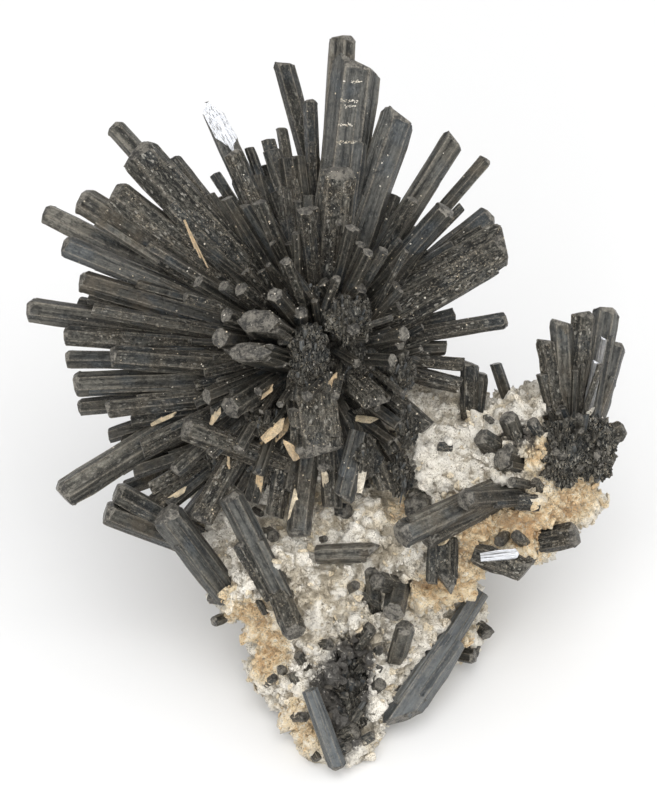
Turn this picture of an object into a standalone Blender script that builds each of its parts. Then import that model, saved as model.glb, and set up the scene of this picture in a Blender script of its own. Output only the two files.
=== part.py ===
"""Stibnite specimen: a burst of dark prismatic crystals, a smaller spray and loose crystals on pale matrix.

Sizes are millimetres unless a name says otherwise, and are turned to metres where a mesh is made.
Most places are given in the face frame: right, up along the sloping front face, and out of that face.
"""

import math
import random

import bmesh
import bpy
from mathutils import Matrix, Vector, noise

MM = 0.001
GOLDEN = math.pi * (3 - math.sqrt(5))

# Driving dimensions.
FACE_TILT = math.radians(40)  # the front face leans back, and its normal points this far above level
FRONT_TIP = Vector((-1.0, -27.0, 0.0))  # lower tip of the specimen, where the face frame starts
HEART = (-2.0, 57.3, -4.5)  # where the crystals of the burst come together
SIDE_SEAT = (32.6, 45.0, -7.0)  # where the crystals of the side spray come together
GAP = 0.3  # clearance between pieces that touch
CORE_RADIUS = 9.0
CORE_ROUGHNESS = 0.25
CORE_START = 6.0  # the burst's crystals start this far from its heart
SIDE_CORE = (4.6, 5.4, 4.8)
SIDE_START = 2.0
LOWER_CORE = (4.4, 4.4, 3.2)
LOWER_START = 1.0
SPRAY_ROUGHNESS = 0.5
ROOT_SHARE = 0.8  # a crystal's section at its root, as a share of its full section
LUMP_WAVES = 2.2  # how close the rises and hollows of a lump are
MATRIX_VOXEL = 1.5
MATRIX_FACES = 950
MATRIX_ROUGHNESS = 0.2
BROAD_RISE, BROAD_WAVES = 2.2, 0.13  # height and closeness of the matrix's broad rises
SMALL_RISE, SMALL_WAVES = 1.5, 0.33
GROUND_SIDE, GROUND_DEPTH = 200.0, 60.0

RIGHT = Vector((1, 0, 0))
UP = Vector((0, math.sin(FACE_TILT), math.cos(FACE_TILT)))
OUT = Vector((0, -math.cos(FACE_TILT), math.sin(FACE_TILT)))

# Six corners of a crystal's section, as shares of its width and thickness.
SECTION = ((0.5, 0.0), (0.29, 0.5), (-0.29, 0.5), (-0.5, 0.0), (-0.29, -0.5), (0.29, -0.5))

# How a crystal ends: depth of the bevel and how far along it is tilted, as shares of the width,
# then the size of the last ring as shares of width and thickness.
ENDS = {
    "flat": (0.0, 0.0, 1.0, 1.0),
    "blunt": (0.14, 0.0, 0.76, 0.72),
    "falling": (0.12, -0.28, 0.80, 0.76),
    "point": (0.75, 0.25, 0.28, 0.25),
}


def face_point(right, up, out):
    """A place in the face frame, as a world position in millimetres."""
    return FRONT_TIP + RIGHT * right + UP * up + OUT * out


def clear_scene():
    for thing in list(bpy.data.objects):
        bpy.data.objects.remove(thing, do_unlink=True)


def material(name, colour, roughness, metallic):
    finish = bpy.data.materials.new(name)
    finish.use_nodes = True
    shader = finish.node_tree.nodes["Principled BSDF"]
    shader.inputs["Base Color"].default_value = (*colour, 1.0)
    shader.inputs["Roughness"].default_value = roughness
    shader.inputs["Metallic"].default_value = metallic
    finish.diffuse_color = (*colour, 1.0)
    return finish


def new_object(name, bm, finish=None):
    mesh = bpy.data.meshes.new(name)
    bm.to_mesh(mesh)
    bm.free()
    made = bpy.data.objects.new(name, mesh)
    bpy.context.scene.collection.objects.link(made)
    if finish:
        mesh.materials.append(finish)
    return made


def as_helper(made):
    made.hide_render = True
    made.display_type = "WIRE"
    return made


def add_crystal(bm, root, tip, width, thick, turn=0.0, end="blunt", grow=0.0):
    """A six-sided prism from root to tip with a bevelled end, closed at both ends."""
    axis = (tip - root).normalized()
    root = root - axis * grow
    tip = tip + axis * grow
    length = (tip - root).length
    side = axis.cross(OUT)
    if side.length < 0.2:
        side = axis.cross(UP)
    side.normalize()
    side = Matrix.Rotation(math.radians(turn), 3, axis) @ side
    other = axis.cross(side)
    width += 2 * grow
    thick += 2 * grow
    depth, tilt, end_width, end_thick = ENDS[end]

    def ring(along, across, through, lean):
        corners = []
        for x, y in SECTION:
            place = root + axis * (along + lean * x * width)
            place += side * (x * width * across) + other * (y * thick * through)
            corners.append(bm.verts.new(place * MM))
        return corners

    shoulder = length - (depth + abs(tilt) * 0.5) * width
    rings = [ring(0.0, ROOT_SHARE, ROOT_SHARE, 0.0), ring(shoulder, 1.0, 1.0, tilt)]
    if depth:
        rings.append(ring(shoulder + depth * width, end_width, end_thick, tilt * end_width))
    count = len(SECTION)
    for low, high in zip(rings, rings[1:]):
        for i in range(count):
            j = (i + 1) % count
            bm.faces.new((low[i], low[j], high[j], high[i]))
    bm.faces.new(rings[0][::-1])
    bm.faces.new(rings[-1])


def add_lump(bm, place, radii, seed, roughness, detail=1, grow=0.0):
    """A rough rounded lump: a ball with radii along right, up and out, pushed in and out by noise."""
    made = bmesh.ops.create_icosphere(bm, subdivisions=detail, radius=1.0)
    shift = Vector((seed * 3.1, seed * 1.7, seed * 0.9))
    for vert in made["verts"]:
        ball = vert.co.normalized()
        push = 1 + roughness * noise.noise(ball * LUMP_WAVES + shift)
        local = [ball[i] * (radii[i] * push + grow) for i in range(3)]
        vert.co = (place + RIGHT * local[0] + UP * local[1] + OUT * local[2]) * MM


def outward(bm):
    bmesh.ops.recalc_face_normals(bm, faces=bm.faces)


# The burst. Each row is one crystal: its tip measured from the heart (right, up, out), its width,
# thickness, turn about its own axis in degrees and kind of end.
BURST_RIM = (
    (3.1, 43.2, -1.0, 4.1, 3.2, 40, "blunt"),
    (4.9, 39.9, 3.5, 6.5, 4.6, 5, "falling"),
    (10.9, 32.7, 3.0, 5.2, 3.6, 20, "falling"),
    (18.1, 28.9, 1.0, 2.9, 2.4, 0, "falling"),
    (22.4, 26.3, 0.0, 2.0, 1.8, 30, "blunt"),
    (19.3, 19.6, 3.0, 1.3, 1.2, 0, "flat"),
    (23.4, 18.8, -2.0, 3.2, 2.6, 0, "blunt"),
    (24.9, 15.4, 5.0, 6.4, 4.4, 15, "falling"),
    (25.5, 4.2, 1.0, 2.3, 2.0, 0, "blunt"),
    (18.5, 4.4, -2.0, 3.2, 2.4, 10, "flat"),
    (17.3, 0.4, 0.0, 2.1, 1.8, 0, "flat"),
    (19.6, -1.9, 2.0, 2.0, 1.8, 20, "flat"),
    (19.2, -4.8, 1.0, 2.4, 2.0, 0, "flat"),
    (-1.4, 34.4, -1.0, 2.0, 1.8, 0, "blunt"),
    (-5.3, 30.6, -2.0, 1.6, 1.5, 0, "flat"),
    (-7.1, 28.9, 0.0, 2.1, 1.9, 20, "flat"),
    (-9.7, 27.8, 0.0, 1.4, 1.3, 0, "flat"),
    (-11.9, 27.0, 5.0, 2.7, 2.2, 10, "blunt"),
    (-15.0, 34.0, -1.0, 2.4, 1.6, 30, "point"),
    (-27.9, 31.1, -5.0, 2.8, 2.4, 0, "blunt"),
    (-24.9, 27.6, 4.0, 5.8, 4.2, 10, "blunt"),
    (-19.7, 27.2, -2.0, 3.0, 2.4, 0, "flat"),
    (-27.7, 22.3, 4.0, 4.2, 3.2, 15, "blunt"),
    (-32.4, 21.3, 0.0, 4.0, 3.0, 0, "blunt"),
    (-37.6, 19.4, -3.0, 3.0, 2.4, 25, "blunt"),
    (-34.5, 14.8, 1.0, 2.8, 2.2, 0, "blunt"),
    (-30.6, 12.0, -2.0, 2.0, 1.8, 0, "flat"),
    (-32.0, 10.1, 2.0, 2.6, 2.0, 15, "blunt"),
    (-33.2, 6.8, -2.0, 1.5, 1.4, 0, "flat"),
    (-30.9, 5.5, 5.0, 2.0, 1.7, 0, "flat"),
    (-39.9, 6.1, 0.0, 3.3, 2.6, 10, "blunt"),
)
BURST_INNER = (
    (17.0, 19.0, 11.0, 3.0, 2.5, 0, "blunt"),
    (2.5, 24.2, 13.0, 4.8, 3.2, 0, "blunt"),
    (-2.0, 18.4, 16.0, 2.3, 1.9, 0, "flat"),
    (4.1, 16.0, 18.0, 1.6, 1.4, 0, "flat"),
    (6.4, 12.8, 17.0, 1.7, 1.4, 0, "flat"),
    (8.5, 13.2, 14.0, 1.7, 1.4, 0, "flat"),
    (-12.5, 20.4, 10.0, 1.8, 1.5, 0, "flat"),
    (-8.1, 19.8, 12.0, 2.0, 1.7, 20, "flat"),
    (-3.0, 20.0, 9.0, 1.3, 1.2, 0, "flat"),
    (-23.4, 14.2, 6.0, 1.7, 1.4, 0, "flat"),
    (-16.2, 9.0, 16.0, 1.9, 1.6, 0, "flat"),
    (-12.8, 8.4, 17.0, 1.8, 1.6, 0, "flat"),
    (-10.5, 8.0, 18.0, 2.2, 1.8, 15, "flat"),
    (-6.0, 7.2, 19.0, 2.3, 2.0, 0, "flat"),
    (-4.5, 11.6, 18.0, 1.7, 1.4, 0, "flat"),
    (-13.4, 1.5, 18.0, 2.8, 2.6, 0, "blunt"),
    (-12.4, 4.5, 18.0, 2.1, 1.9, 0, "flat"),
    (-15.2, -6.3, 14.0, 2.3, 1.9, 0, "flat"),
    (-12.2, -8.0, 15.0, 3.3, 2.4, 10, "blunt"),
    (11.3, 2.1, 14.0, 2.2, 2.0, 0, "flat"),
    (6.3, -6.4, 15.0, 4.4, 2.0, 35, "point"),
    (-0.3, -14.0, 12.0, 5.6, 3.8, 0, "blunt"),
    (4.0, -19.5, 6.0, 2.4, 2.0, 0, "flat"),
    (5.8, -18.9, 3.0, 2.4, 2.0, 20, "flat"),
    (-3.0, -25.2, 7.0, 3.4, 3.0, 0, "blunt"),
    (-4.2, -19.3, 5.0, 2.6, 2.0, 0, "flat"),
    (-7.2, -16.0, 4.0, 2.1, 1.8, 0, "flat"),
    (-11.0, -19.0, 3.0, 2.2, 1.8, 0, "flat"),
    (12.6, -18.2, 2.4, 2.4, 2.0, 0, "flat"),
)
# Crystals of the burst that grow from beside the heart: where they start, then as above.
BURST_ASIDE = (
    ((4.0, 9.0, -6.0), (-4.7, 39.6, -4.0, 2.8, 2.3, 0, "falling")),
    ((-4.0, 1.0, 5.0), (-8.4, 3.8, 21.0, 5.8, 3.0, -57, "blunt")),
    ((-4.0, -2.0, 5.0), (-9.7, -0.3, 20.0, 6.2, 2.6, -73, "blunt")),
    ((-5.0, 0.0, 0.0), (-34.7, 2.4, 2.0, 2.4, 2.0, 0, "blunt")),
    ((-5.0, -1.5, -1.0), (-34.3, -0.9, -1.0, 2.6, 2.1, 30, "blunt")),
    ((-5.0, -2.5, 1.0), (-28.4, -0.8, 6.0, 3.2, 2.6, 0, "blunt")),
    ((-5.0, -3.5, 0.0), (-33.3, -4.2, 2.0, 3.3, 2.6, 0, "blunt")),
    ((-5.0, -5.0, 0.0), (-32.7, -7.4, 0.0, 2.0, 1.8, 0, "blunt")),
    ((-5.0, -5.5, 1.0), (-29.1, -7.9, 3.0, 2.7, 2.2, 20, "blunt")),
    ((-5.0, -6.0, 0.0), (-25.8, -9.4, 1.0, 2.3, 2.0, 0, "flat")),
    ((-8.0, -2.0, 2.0), (-34.5, -20.2, 6.0, 3.7, 2.8, 15, "blunt")),
    ((-9.0, -6.0, 1.0), (-24.3, -13.4, 4.0, 2.8, 2.2, 0, "flat")),
    ((-9.0, -7.0, 2.0), (-19.7, -16.4, 7.0, 2.1, 1.8, 0, "blunt")),
    ((-8.0, -8.0, 2.0), (-16.3, -23.2, 7.0, 3.5, 2.8, 10, "blunt")),
    ((-3.0, -11.6, 1.0), (-18.4, -10.6, 10.0, 3.3, 2.6, 0, "blunt")),
    ((-3.5, -3.5, -1.0), (-28.6, -11.6, -1.0, 1.8, 1.5, 0, "flat")),
)
# Two rough tufts of short crystals at the middle of the burst: place from the heart, and reach
# along right and up.
BURST_TUFTS = (
    ((-1.8, 0.6, 15.0), (3.0, 4.0)),
    ((3.7, 5.4, 14.0), (3.2, 2.8)),
)
TUFT_COUNT = 6
TUFT_WIDTH, TUFT_THICK = 2.6, 2.2
TUFT_ROOT = 3.0
FILL_COUNT = 23
FILL_LENGTHS = (17.0, 24.0)
FILL_WIDTHS = (1.8, 2.8)
BACK_COUNT = 13
BACK_LENGTHS = (22.0, 33.0)
BACK_WIDTHS = (2.2, 3.8)
BACK_SWEEP = (-10.0, 190.0)  # bearings of the ring behind, in degrees, and how far it leans back
BACK_LEANS = (-48.0, -16.0)
FLATNESS = 0.8  # thickness of a filling crystal as a share of its width

SIDE_TIPS = (
    (-4.0, 14.2, 4.0, 2.9, 2.4, 10, "blunt"),
    (-1.9, 16.9, 4.0, 3.2, 2.6, 0, "falling"),
    (1.2, 17.8, 3.0, 3.6, 2.8, 20, "blunt"),
    (4.4, 17.6, -1.0, 3.8, 3.0, 0, "falling"),
    (6.0, 13.0, -2.0, 3.1, 2.4, 10, "blunt"),
    (5.2, 9.0, 0.0, 2.3, 2.0, 0, "flat"),
    (7.2, 1.6, -1.0, 3.0, 2.4, 0, "blunt"),
    (-5.4, 9.0, 3.0, 2.2, 1.8, 0, "flat"),
    (3.2, 14.4, 3.0, 1.7, 1.3, 30, "flat"),
    (1.8, 11.6, 6.0, 2.0, 1.6, 0, "flat"),
    (-1.6, 12.0, -6.0, 2.6, 2.0, 0, "flat"),
    (2.4, 11.0, -8.0, 2.8, 2.1, 20, "flat"),
    (5.0, 6.0, -7.0, 2.4, 1.8, 0, "flat"),
    (4.8, -2.2, 1.0, 2.2, 1.8, 0, "flat"),
    (-2.6, 5.6, 7.0, 3.0, 2.4, 10, "flat"),
    (1.6, 2.6, 7.6, 3.2, 2.4, 40, "flat"),
    (-1.6, -1.6, 7.0, 3.0, 2.6, 20, "flat"),
    (2.4, -4.6, 6.0, 2.6, 2.2, 0, "flat"),
    (-4.2, 1.6, 5.6, 2.4, 2.0, 0, "flat"),
)

# Crystals set in the matrix. Each group is one node: root and tip in the face frame, then width,
# thickness, turn and end.
SET_IN_MATRIX = {
    "left_crystal": (((-15.0, 24.6, -4.0), (-22.9, 35.8, 4.0), 4.4, 3.2, 10, "blunt"),),
    "left_pair": (
        ((-15.0, 29.0, -9.0), (-31.3, 35.6, -2.0), 3.6, 2.8, 0, "blunt"),
        ((-15.0, 29.8, -8.0), (-29.8, 38.4, -1.0), 3.2, 2.6, 20, "blunt"),
    ),
    "striped_crystal": (
        ((-7.0, 23.6, 0.0), (-14.2, 38.2, 4.0), 3.5, 3.0, 0, "blunt"),
        ((-8.4, 24.0, 0.0), (-12.8, 31.8, 2.6), 2.8, 2.0, 20, "blunt"),
        ((-8.2, 26.0, -1.0), (-5.2, 19.2, 5.5), 3.3, 2.6, 0, "blunt"),
    ),
    "front_blade": (
        ((24.6, 39.4, -4.0), (8.4, 32.6, 9.0), 3.9, 3.2, 0, "blunt"),
        ((25.2, 37.6, -4.0), (17.0, 37.4, 7.0), 3.0, 2.6, 10, "blunt"),
        ((22.6, 37.0, -4.0), (12.0, 31.9, 6.0), 2.6, 2.2, 0, "flat"),
    ),
    "stub_crystal": (((12.0, 38.0, -7.0), (10.9, 35.8, 2.4), 3.9, 3.0, 0, "blunt"),),
    "leaf_crystal": (((-2.6, 29.8, 0.6), (6.0, 30.2, 2.4), 2.7, 2.0, 0, "point"),),
    "wedge_crystal": (((14.6, 31.6, -1.0), (14.2, 25.0, 3.0), 4.2, 2.6, 0, "point"),),
    "bright_crystal": (((19.0, 29.8, -2.0), (26.4, 27.4, 0.6), 3.4, 2.6, 0, "point"),),
    "edge_crystal": (((27.0, 31.0, -8.0), (33.2, 32.4, -4.5), 3.6, 2.8, 0, "blunt"),),
    "standing_crystal": (((8.4, 15.4, -4.0), (9.5, 20.4, 3.4), 2.7, 2.2, 0, "blunt"),),
    "middle_cluster": (
        ((9.0, 26.2, -4.0), (7.7, 22.0, 5.4), 3.2, 2.4, 0, "blunt"),
        ((9.4, 25.2, -4.0), (5.4, 26.6, 4.6), 2.6, 2.0, 0, "blunt"),
        ((5.6, 21.0, -4.0), (4.9, 27.8, 2.6), 1.9, 1.6, 0, "flat"),
    ),
    "lower_blade": (
        ((19.8, 24.2, -9.5), (8.6, 7.0, -3.0), 3.2, 2.6, 0, "blunt"),
        ((14.8, 15.4, -6.6), (7.6, 5.4, -2.0), 5.4, 3.0, 0, "blunt"),
    ),
    "foot_crystal": (((-3.4, 11.8, 3.4), (0.4, 1.4, 1.6), 2.5, 2.0, 0, "blunt"),),
    "ridge_block": (
        ((18.4, 48.0, -8.0), (18.4, 56.2, -6.0), 2.6, 2.2, 0, "falling"),
        ((19.4, 48.0, -9.2), (19.9, 54.6, -7.6), 2.4, 2.2, 0, "flat"),
    ),
    "ridge_stub": (((24.6, 49.0, -13.0), (22.2, 55.8, -11.0), 1.7, 1.5, 0, "flat"),),
    "right_cluster": (
        ((26.0, 42.6, -6.0), (23.2, 48.6, 0.4), 2.6, 2.0, 0, "blunt"),
        ((25.8, 42.0, -6.0), (19.4, 45.8, 0.4), 2.6, 2.0, 0, "blunt"),
        ((26.2, 41.8, -6.0), (22.2, 42.8, 1.6), 3.2, 2.4, 10, "blunt"),
    ),
}
LOWER_SEAT = (1.6, 12.6, -3.6)
LOWER_TIPS = (
    (-0.6, 11.8, 5.4, 2.1, 1.8, 0, "flat"),
    (2.6, 8.0, 7.0, 2.0, 1.6, 0, "blunt"),
    (4.2, 7.2, 6.0, 2.2, 1.8, 20, "flat"),
    (4.4, 3.0, 6.4, 2.2, 1.8, 0, "flat"),
    (5.0, -0.4, 6.4, 2.4, 1.8, 0, "blunt"),
    (-6.4, 4.4, 6.0, 2.0, 1.6, 0, "blunt"),
    (-3.4, 6.4, 6.4, 2.0, 1.6, 0, "flat"),
    (-7.2, 1.6, 6.0, 1.9, 1.6, 0, "flat"),
    (-6.4, -0.6, 6.0, 1.8, 1.5, 0, "flat"),
    (1.0, -6.2, 6.4, 3.4, 2.6, 0, "blunt"),
    (3.6, -7.2, 5.0, 2.0, 1.6, 0, "flat"),
    (-0.6, 1.0, 8.0, 2.4, 2.0, 0, "flat"),
    (1.2, 4.0, 8.0, 2.2, 1.8, 0, "flat"),
    (1.6, -2.4, 7.4, 2.4, 2.0, 20, "flat"),
    (-2.4, -2.6, 6.8, 2.0, 1.8, 0, "flat"),
)

# Lumps of the matrix: centre in the face frame, then radii along right, up and out.
MATRIX_LUMPS = (
    ((0.3, 5.8, -4.8), (6.0, 8.0, 5.6)),
    ((0.0, 16.5, -9.5), (11.5, 11.0, 10.5)),
    ((-8.0, 28.5, -10.0), (11.5, 10.0, 10.5)),
    ((6.0, 31.0, -12.0), (17.0, 13.0, 13.0)),
    ((20.0, 38.0, -11.0), (14.5, 10.5, 11.0)),
    ((28.0, 44.0, -11.0), (8.6, 8.6, 9.0)),
    ((-6.0, 43.0, -13.0), (14.0, 11.0, 12.0)),
    ((12.0, 44.5, -13.0), (15.0, 8.4, 10.0)),
    ((-2.0, 50.0, -19.0), (13.0, 8.0, 10.0)),
    ((2.0, 27.0, -25.0), (15.0, 14.0, 13.0)),
    ((6.0, 20.0, -17.0), (14.0, 11.0, 12.0)),
    ((10.0, 36.0, -24.0), (14.0, 11.0, 10.0)),
)


def burst_rows():
    """Every crystal of the burst as (root, tip, width, thickness, turn, end), both ends from the heart."""
    rows = []
    for *tip, width, thick, turn, end in BURST_RIM + BURST_INNER:
        tip = Vector(tip)
        rows.append((tip.normalized() * CORE_START, tip, width, thick, turn, end))
    for root, (*tip, width, thick, turn, end) in BURST_ASIDE:
        rows.append((Vector(root), Vector(tip), width, thick, turn, end))
    return rows + tuft_rows() + filling_rows()


def tuft_rows():
    """Short crystals side by side, spread by the golden angle over each tuft."""
    rows = []
    for (right, up, out), (wide, high) in BURST_TUFTS:
        for i in range(TUFT_COUNT):
            share = math.sqrt(i / TUFT_COUNT)
            across = right + wide * share * math.cos(i * GOLDEN)
            along = up + high * share * math.sin(i * GOLDEN)
            root = Vector((across * 0.6, along * 0.6, TUFT_ROOT))
            tip = Vector((across, along, out + 2.0 * math.cos(i * 1.9)))
            rows.append((root, tip, TUFT_WIDTH, TUFT_THICK, 25.0 * i, "flat"))
    return rows


def filling_rows():
    """Shorter crystals between the large ones, and the ring of them on the side away from the face."""
    draw = random.Random(11)
    rows = []
    for i in range(FILL_COUNT):
        out = 0.12 + 0.80 * (i + 0.5) / FILL_COUNT
        flat = math.sqrt(1 - out * out)
        way = Vector((flat * math.cos(i * GOLDEN), flat * math.sin(i * GOLDEN), out))
        length = draw.uniform(*FILL_LENGTHS) - 3.0 * out
        width = draw.uniform(*FILL_WIDTHS)
        rows.append((way * CORE_START, way * length, width, width * FLATNESS, draw.uniform(0, 60), "flat"))
    for i in range(BACK_COUNT):
        first, last = BACK_SWEEP
        bearing = math.radians(first + (last - first) * (i + 0.5) / BACK_COUNT)
        lean = math.radians(draw.uniform(*BACK_LEANS))
        flat = math.cos(lean)
        way = Vector((flat * math.cos(bearing), flat * math.sin(bearing), math.sin(lean)))
        length = draw.uniform(*BACK_LENGTHS)
        width = draw.uniform(*BACK_WIDTHS)
        rows.append((way * CORE_START, way * length, width, width * FLATNESS, draw.uniform(0, 60), "flat"))
    return rows


def from_seat(seat, vector):
    return face_point(*(Vector(seat) + Vector(vector)))


def burst_mesh(bm, grow=0.0):
    for root, tip, width, thick, turn, end in burst_rows():
        add_crystal(bm, from_seat(HEART, root), from_seat(HEART, tip), width, thick, turn, end, grow)


def spray_mesh(bm, seat, tips, start, grow=0.0):
    for *tip, width, thick, turn, end in tips:
        tip = Vector(tip)
        root = tip.normalized() * start
        add_crystal(bm, from_seat(seat, root), from_seat(seat, tip), width, thick, turn, end, grow)


def fused(name, core, crystals, finish):
    """Joins a first closed shape with the closed crystals that cross it, as one solid."""
    outward(core)
    outward(crystals)
    body = new_object(name, core, finish)
    others = as_helper(new_object(name + "_crystals", crystals))
    union = body.modifiers.new("grown together", "BOOLEAN")
    union.operation = "UNION"
    union.object = others
    union.use_self = True
    return body


def build_burst(finish):
    core = bmesh.new()
    add_lump(core, face_point(*HEART), (CORE_RADIUS,) * 3, 1, CORE_ROUGHNESS)
    crystals = bmesh.new()
    burst_mesh(crystals)
    return fused("main_spray", core, crystals, finish)


def build_spray(name, seat, radii, tips, start, finish):
    """A small spray: crystals that fan out of a rough lump."""
    core = bmesh.new()
    add_lump(core, face_point(*seat), radii, len(tips), SPRAY_ROUGHNESS)
    crystals = bmesh.new()
    spray_mesh(crystals, seat, tips, start)
    return fused(name, core, crystals, finish)


def build_set_crystals(finish):
    for name, group in SET_IN_MATRIX.items():
        first = bmesh.new()
        others = bmesh.new()
        for i, (root, tip, width, thick, turn, end) in enumerate(group):
            target = others if i else first
            add_crystal(target, face_point(*root), face_point(*tip), width, thick, turn, end)
        if len(group) > 1:
            fused(name, first, others, finish)
        else:
            others.free()
            outward(first)
            new_object(name, first, finish)


def socket_cutter():
    """Everything that stands in the matrix, grown by the clearance, as one cutter of crossing shapes."""
    bm = bmesh.new()
    add_lump(bm, face_point(*HEART), (CORE_RADIUS,) * 3, 1, CORE_ROUGHNESS, grow=GAP)
    burst_mesh(bm, GAP)
    add_lump(bm, face_point(*SIDE_SEAT), SIDE_CORE, len(SIDE_TIPS), SPRAY_ROUGHNESS, grow=GAP)
    spray_mesh(bm, SIDE_SEAT, SIDE_TIPS, SIDE_START, GAP)
    add_lump(bm, face_point(*LOWER_SEAT), LOWER_CORE, len(LOWER_TIPS), SPRAY_ROUGHNESS, grow=GAP)
    spray_mesh(bm, LOWER_SEAT, LOWER_TIPS, LOWER_START, GAP)
    for group in SET_IN_MATRIX.values():
        for root, tip, width, thick, turn, end in group:
            add_crystal(bm, face_point(*root), face_point(*tip), width, thick, turn, end, GAP)
    outward(bm)
    return as_helper(new_object("socket_cutter", bm))


def applied(made):
    """The object's mesh with its modifiers worked in."""
    graph = bpy.context.evaluated_depsgraph_get()
    mesh = bpy.data.meshes.new_from_object(made.evaluated_get(graph))
    made.modifiers.clear()
    made.data = mesh
    return mesh


def keep_largest(mesh):
    """Deletes crumbs that a cut has freed from the main body."""
    bm = bmesh.new()
    bm.from_mesh(mesh)
    left = set(bm.verts)
    bodies = []
    while left:
        edge = [left.pop()]
        body = set(edge)
        while edge:
            vert = edge.pop()
            for link in vert.link_edges:
                other = link.other_vert(vert)
                if other in left:
                    left.discard(other)
                    body.add(other)
                    edge.append(other)
        bodies.append(body)
    bodies.sort(key=len)
    for body in bodies[:-1]:
        bmesh.ops.delete(bm, geom=list(body), context="VERTS")
    bm.to_mesh(mesh)
    bm.free()


def build_matrix(finish):
    """Rounded lumps run together, roughened, thinned to flat facets, cut level below and socketed."""
    bm = bmesh.new()
    for seed, (place, radii) in enumerate(MATRIX_LUMPS):
        add_lump(bm, face_point(*place), radii, seed, MATRIX_ROUGHNESS, 3)
    outward(bm)
    matrix = new_object("matrix", bm, finish)
    skin = matrix.modifiers.new("run together", "REMESH")
    skin.mode = "VOXEL"
    skin.voxel_size = MATRIX_VOXEL * MM
    mesh = applied(matrix)
    bm = bmesh.new()
    bm.from_mesh(mesh)
    bm.normal_update()
    moves = []
    for vert in bm.verts:
        place = vert.co / MM
        push = BROAD_RISE * noise.noise(place * BROAD_WAVES)
        push += SMALL_RISE * noise.noise(place * SMALL_WAVES + Vector((7, 3, 1)))
        moves.append((vert, vert.normal * push * MM))
    for vert, move in moves:
        vert.co += move
    bm.to_mesh(mesh)
    bm.free()
    thin = matrix.modifiers.new("facets", "DECIMATE")
    thin.ratio = MATRIX_FACES / (2 * len(mesh.polygons))
    applied(matrix)
    bm = bmesh.new()
    bmesh.ops.create_cube(bm, size=1.0)
    for vert in bm.verts:
        x, y, z = vert.co
        vert.co = Vector((x * GROUND_SIDE, y * GROUND_SIDE, (z - 0.5) * GROUND_DEPTH)) * MM
    ground = as_helper(new_object("ground_cutter", bm))
    for cutter in (ground, socket_cutter()):
        cut = matrix.modifiers.new(cutter.name, "BOOLEAN")
        cut.operation = "DIFFERENCE"
        cut.object = cutter
        cut.use_self = cutter is not ground
    keep_largest(applied(matrix))


def main():
    clear_scene()
    stibnite = material("stibnite", (0.055, 0.058, 0.062), 0.38, 0.6)
    crust = material("pale crust", (0.78, 0.72, 0.62), 0.85, 0.0)
    build_burst(stibnite)
    build_spray("side_spray", SIDE_SEAT, SIDE_CORE, SIDE_TIPS, SIDE_START, stibnite)
    build_spray("lower_spray", LOWER_SEAT, LOWER_CORE, LOWER_TIPS, LOWER_START, stibnite)
    build_set_crystals(stibnite)
    build_matrix(crust)


main()
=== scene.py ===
# %% [markdown]
# # A stibnite specimen
# Stibnite grows as long dark prisms with a dull metallic shine. Here they fan out of one heart on a
# pale crusty rock. The solids of the frame give every crystal its place and size, and this script
# gives the crystals their real faces, grooves and colours, and the rock its crumbly skin.
# The frame is loaded first, because every piece is measured against it.

# %% Load the frame
import math
import random

import bmesh
import bpy
import numpy as np
from mathutils import Matrix, Vector, noise
from mathutils.bvhtree import BVHTree


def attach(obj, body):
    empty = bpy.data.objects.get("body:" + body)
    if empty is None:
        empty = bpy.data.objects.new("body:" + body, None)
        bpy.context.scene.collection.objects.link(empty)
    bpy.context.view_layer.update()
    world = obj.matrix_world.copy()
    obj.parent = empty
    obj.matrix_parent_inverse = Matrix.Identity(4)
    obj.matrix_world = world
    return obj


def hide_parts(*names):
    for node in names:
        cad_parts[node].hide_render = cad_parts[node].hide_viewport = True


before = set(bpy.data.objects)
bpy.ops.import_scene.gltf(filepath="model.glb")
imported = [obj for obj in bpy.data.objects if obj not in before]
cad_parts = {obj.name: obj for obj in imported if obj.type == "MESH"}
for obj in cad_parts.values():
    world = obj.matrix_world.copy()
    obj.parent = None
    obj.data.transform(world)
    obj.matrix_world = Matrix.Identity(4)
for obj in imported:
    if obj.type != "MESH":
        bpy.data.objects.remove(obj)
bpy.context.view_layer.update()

print("nodes in the frame:", len(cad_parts))

# %% [markdown]
# The photograph looks square at the sloping front of the specimen. So most places are easiest to say
# in the frame of that face: right, up along the slope, and out of it, in millimetres. One helper
# turns such a place into metres, and another reads a place in the picture as a place on the face.

# %% The frame of the front face
MM = 0.001
FACE_TILT = math.radians(40)
FRONT_TIP = Vector((-1.0, -27.0, 0.0))
RIGHT = Vector((1, 0, 0))
UP = Vector((0, math.sin(FACE_TILT), math.cos(FACE_TILT)))
OUT = Vector((0, -math.cos(FACE_TILT), math.sin(FACE_TILT)))
GOLDEN = math.pi * (3 - math.sqrt(5))
PICTURE_WIDTH, PICTURE_HEIGHT = 657, 800
PICTURE_STEP = 0.135  # millimetres of the face for one step of the picture
TIP_ACROSS, TIP_DOWN = 335, 775  # where the picture shows the front tip


def face_point(right, up, out):
    """A place in the frame of the front face, in millimetres of the part's own frame."""
    return FRONT_TIP + RIGHT * right + UP * up + OUT * out


def seen(across, down, out=0.0):
    """A place in the picture, as a point this far out of the face plane."""
    return face_point((across - TIP_ACROSS) * PICTURE_STEP, (TIP_DOWN - down) * PICTURE_STEP, out)


print("face leans back", round(math.degrees(FACE_TILT)), "degrees")

# %% [markdown]
# A long lens from nearly half a metre away shows the crystals with little perspective, as in the
# photograph. The camera looks straight at the face, so its three axes are the face's own.

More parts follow.
